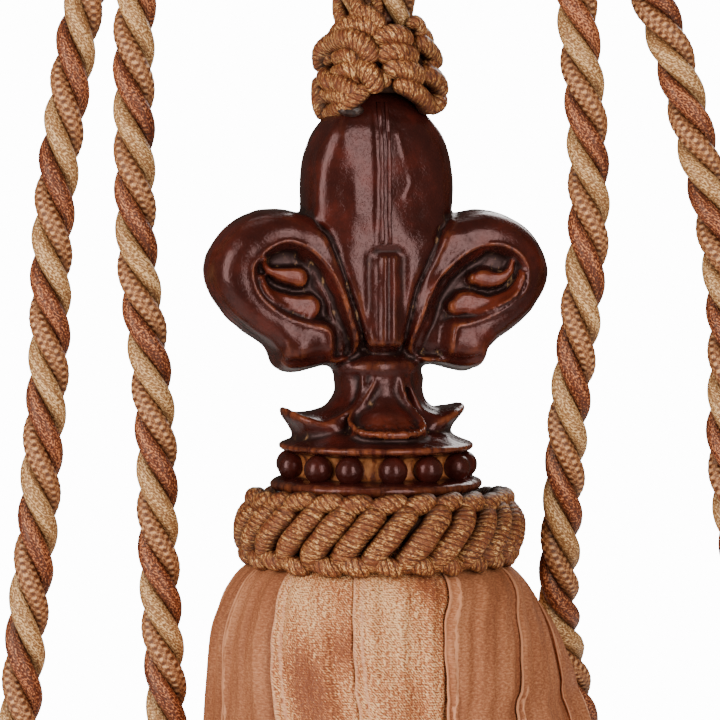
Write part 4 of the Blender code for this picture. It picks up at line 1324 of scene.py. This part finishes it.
# Height above the base, radius, how far its middle lies right of the axis.
SKIRT = (
    (-9.0, 23.5, 0.0), (-12.4, 24.4, 0.1), (-15.4, 27.0, 0.2), (-17.2, 29.8, 0.3), (-20.6, 32.6, 0.5),
    (-24.6, 34.9, 0.7), (-30.6, 37.6, 1.3), (-40.0, 39.9, 2.7), (-51.0, 42.6, 4.6), (-70.0, 45.2, 5.8),
    (-105.0, 47.2, 6.2), (-142.0, 48.0, 6.2), (-175.0, 48.6, 6.0),
)


def painted_satin_light(number, across, height):
    """The share of painted light on a satin ribbon: 1 where it is painted as facing the light, less where
    shade is painted as it turns away.
    """
    shade = np.ones(np.broadcast_shapes(across.shape, height.shape))
    for ribbon_number, at, level, wide, deep, depth in PAINTED_SATIN_SHADE:
        if ribbon_number == number:
            slid = across - at - 0.004 * (level - height)
            shade = shade - depth * hill(slid, wide) * hill(height - level, deep)
    # painted shade in diagonal waves on the satin ribbons behind
    if number not in (-1, 0):
        waves = 0.5 + 0.5 * np.sin(TAU * (0.7 * across + height / 52.0) + 2.1 * number)
        shade = shade - 0.5 * waves**2
    return np.clip(shade, 0, 1)


def ribbon_folds(number, satin, across, height, opened, phase):
    """How far a ribbon's folds, pleats and buckles stand out."""
    inside = opened * np.sin(math.pi * across) ** 2
    bow = RIBBON_BOW * (1 + 0.4 * math.sin(2.3 * number)) * inside
    ripple = RIBBON_RIPPLE * inside * np.sin(2.4 * math.pi * across + 1.9 * number)
    gathered = smoothstep(-14.0, -20.0, height) * smoothstep(-62.0, -24.0, height)
    pleats = 0.42 * np.sin(TAU * across * 3.3 + phase[0] + 0.03 * height)
    pleats = gathered * (pleats + 0.22 * np.sin(TAU * across * 7.1 + phase[1] - 0.05 * height))
    wander = 0.030 * np.sin(height * 0.21 + phase[2]) + 0.014 * np.sin(height * 0.63 + phase[3])
    folds = 0.42 * hill(across - 0.012, 0.018) - 0.50 * hill(across - 0.045 - 0.5 * wander, 0.020)
    folds = folds + 0.50 * hill(across - 0.085 - wander, 0.020) - 0.25 * hill(across - 0.135 - wander, 0.03)
    depth = 1.5 if satin else 0.2
    tucked = smoothstep(0.875, 0.945, across) * depth * (1 + 0.4 * np.sin(height * 0.13 + phase[1]))
    slope = TAU * (1.15 * across + height / 46.0) + phase[0]
    buckle = RIBBON_BUCKLE * inside * (np.sin(slope) + 0.45 * np.sin(1.9 * slope - height * 0.09 + phase[3]))
    if satin:
        return bow + ripple + pleats + opened * (folds - tucked) + buckle
    for place, rise in ((0.36, 0.40), (0.66, 0.28)):
        line = place + 0.05 * np.sin(height * 0.05 + phase[1]) + 0.012 * np.sin(height * 0.5 + phase[2])
        folds = folds + rise * smoothstep(-0.024, 0.024, across - line) * hill(across - line, 0.16)
    return bow + ripple + pleats + opened * (folds - tucked) + buckle * 0.4


def ribbon(name, number, material, satin, columns=60, rows=104):
    """One ribbon of the skirt: a strip that bows out, laps over the next one and opens downwards."""
    phase = np.random.default_rng(100 + number).uniform(0, TAU, 4)
    pitch = TAU / RIBBON_COUNT
    first = RIBBON_START + number * pitch - RIBBON_OVERLAP / 2
    table = curve_through(SKIRT, 8)
    reached = lengths_along(table[:, :2])
    along = np.linspace(0, reached[-1], rows)[:, None]
    height, radius, shift = np.moveaxis(read_off(along, reached, table), -1, 0)
    # The columns lie closer where the ribbon's edges fold.
    across = np.interp(np.linspace(0, 1, columns), (0.0, 0.36, 0.86, 1.0), (0.0, 0.16, 0.87, 1.0))[None]
    opened = np.clip((SKIRT[0][0] - height) / RIBBON_OPENING, 0, 1)
    lap = (SATIN_SHINGLE if satin else ORGANZA_SHINGLE) * (1 - 2 * across)
    reach = radius + lap + ribbon_folds(number, satin, across, height, opened, phase)
    sway = opened * hill(np.minimum(across, 1 - across), 0.10) / radius
    sway = sway * (0.40 * np.sin(height * 0.19 + phase[3]) + 0.22 * np.sin(height * 0.83 + phase[0]))
    angle = first + (pitch + RIBBON_OVERLAP) * across + sway
    turn = angle - RIBBON_START
    crowding = np.interp(height, *curve_through(TOP_SHARE).T)
    angle = angle + crowding * (TOP_SPREAD * np.sin(turn) + TOP_SHIFT * np.sin(turn) ** 2)
    hem = HEM_UNEVEN * (along / reached[-1]) ** 4 * math.sin(1.7 * number)
    grid = polar(reach, angle, height + hem + BASE_Z, shift)
    places = side_by_side(across * RIBBON_WIDTH, along) / WEAVE_UNIT
    shape = Shape()
    # satin ribbons carry their painted light and shade into the satin's colour
    shape.add(grid, places, closed=False, openness=painted_satin_light(number, across, height) if satin else None)
    made = shape.make(name, [material])
    solidify = made.modifiers.new("cloth", "SOLIDIFY")
    solidify.thickness = RIBBON_THICKNESS * MM
    solidify.offset = 0.0
    apply_modifiers(made)
    return made


def skirt():
    counts = {"satin": 0, "organza": 0}
    cloths = {"satin": satin_material(), "organza": organza_material()}
    for number in range(-1, RIBBON_COUNT - 1):
        kind = "satin" if number in SATIN else "organza"
        counts[kind] += 1
        made = ribbon(f"{kind}_cloth_{counts[kind]}", number, cloths[kind], kind == "satin")
        dress(made, f"{kind}_ribbon_{counts[kind]}")


# ---------------------------------------------------------------- stage

# The camera, where the photo was taken from.
CAMERA_PLACE = (-3.6, -562.0, -84.4)
CAMERA_AIM = (-3.6, 0.0, -109.15)
CAMERA_VIEW = math.radians(16.4)

LIGHTS_AIM = (0.0, 0.0, -0.12)
LIGHT_COLOUR = (1.0, 0.98, 0.96)
# Name, place in metres, size in metres, power.
LIGHTS = (
    ("left_softbox", (-0.46, -0.40, 0.02), (0.30, 0.60), 4.10),
    ("right_softbox", (0.27, -0.54, 0.01), (0.22, 0.58), 2.90),
    ("back_softbox", (0.3, 0.70, 0.42), (0.5, 0.5), 4.0),
    ("top_softbox", (-0.2, 0.2, 0.95), (0.6, 0.6), 1.4),
)
# How bright the surroundings are in front of the tassel, behind it and more at its sides.
FRONT_GLOW, BACK_GLOW, SIDE_GLOW = 0.27, 0.05, 0.10
GLOW_COLOUR = (1.0, 0.85, 0.72, 1.0)
SURROUND_RADIUS, FLOOR_RADIUS = 8.0, 1.6  # metres
SURROUND_GLOW = 14.0
FLOOR_DROP = 0.03  # how far under the tassel the floor lies, metres
FLOOR_FADE = (0.25, 0.8)  # how far out it starts to fade and is gone, metres


def aim(made, place, target):
    made.location = Vector(place)
    made.rotation_euler = (Vector(target) - Vector(place)).to_track_quat("-Z", "Y").to_euler()


def lights_and_camera():
    data = bpy.data.cameras.new("camera")
    data.sensor_width = 36.0
    data.lens = data.sensor_width / 2 / math.tan(CAMERA_VIEW / 2)
    data.clip_start = 0.05
    data.clip_end = 60.0
    camera = put("camera", data)
    aim(camera, Vector(CAMERA_PLACE) * MM, Vector(CAMERA_AIM) * MM)
    bpy.context.scene.camera = camera
    for name, place, size, power in LIGHTS:
        data = bpy.data.lights.new(name, "AREA")
        data.shape = "RECTANGLE"
        data.size, data.size_y = size
        data.energy = power
        data.color = LIGHT_COLOUR
        aim(put(name, data), place, LIGHTS_AIM)


def world():
    """A dim warm glow all round, brighter in front."""
    made = bpy.data.worlds.new("world")
    bpy.context.scene.world = made
    made.use_nodes = True
    background = made.node_tree.nodes["Background"]
    background.inputs[0].default_value = GLOW_COLOUR
    direction = add_node(made.node_tree, "ShaderNodeTexCoord", {}, output="Generated")
    right = direction.node("ShaderNodeSeparateXYZ", {0: direction})
    back = Value(right.socket.node.outputs[1])
    fade = {"Value": back, "From Min": -1.0, "To Min": FRONT_GLOW, "To Max": BACK_GLOW}
    glow = right * right * SIDE_GLOW + back.node("ShaderNodeMapRange", fade)
    made.node_tree.links.new(glow.socket, background.inputs[1])


def stage_mesh(name, material, fill):
    """An object that only sets the stage. fill puts its faces in a new mesh."""
    shape = bmesh.new()
    fill(shape)
    mesh = bpy.data.meshes.new(name)
    shape.to_mesh(mesh)
    shape.free()
    mesh.materials.append(material)
    made = put(name, mesh)
    return made


def surround():
    """A white surround that only the camera sees."""
    white = Surface("surround")
    white.tree.nodes.clear()
    glow = add_node(white.tree, "ShaderNodeEmission", {1: SURROUND_GLOW})
    out = white.tree.nodes.new("ShaderNodeOutputMaterial")
    white.tree.links.new(glow.socket, out.inputs[0])
    made = stage_mesh(
        "surround", white.made,
        lambda shape: bmesh.ops.create_icosphere(shape, subdivisions=4, radius=SURROUND_RADIUS))
    for kind in ("diffuse", "glossy", "transmission", "volume_scatter", "shadow"):
        setattr(made, f"visible_{kind}", False)


def floor():
    """The pale floor under the tassel, which fades into the surround."""
    surface = Surface("floor")
    place = surface.place()
    distance = place.node("ShaderNodeVectorMath", {0: place}, {"operation": "LENGTH"}, "Value")
    near, far = FLOOR_FADE
    fade = {"Value": distance, "From Min": near, "From Max": far, "To Min": 1.0, "To Max": 0.0}
    cover = distance.node("ShaderNodeMapRange", fade, {"interpolation_type": "SMOOTHSTEP"})
    grain = place.noise(40.0)
    colour = grain.ramp((0.3, (0.86, 0.86, 0.85)), (0.7, (0.9, 0.9, 0.89)))
    surface.finish(colour, grain, bump=0.0, relief=0.1, roughness=0.8, alpha=cover)
    made = stage_mesh(
        "floor", surface.made,
        lambda shape: bmesh.ops.create_circle(shape, cap_ends=True, segments=64, radius=FLOOR_RADIUS))
    made.location = (0.0, 0.0, cad_box[0].z - FLOOR_DROP)


lights_and_camera()
world()
surround()
floor()
plies = [silk_material("tan_yarn", TAN_STOPS, 0.91), ribbed_material(),
         silk_material("russet_yarn", RUSSET_STOPS, 0.52)]
twisted_cord("left_cord", LEFT_LOOP, LEFT_PHASE, plies)
twisted_cord("right_cord", RIGHT_LOOP, RIGHT_PHASE, plies)
finial()
collar()
top_knot()
skirt()
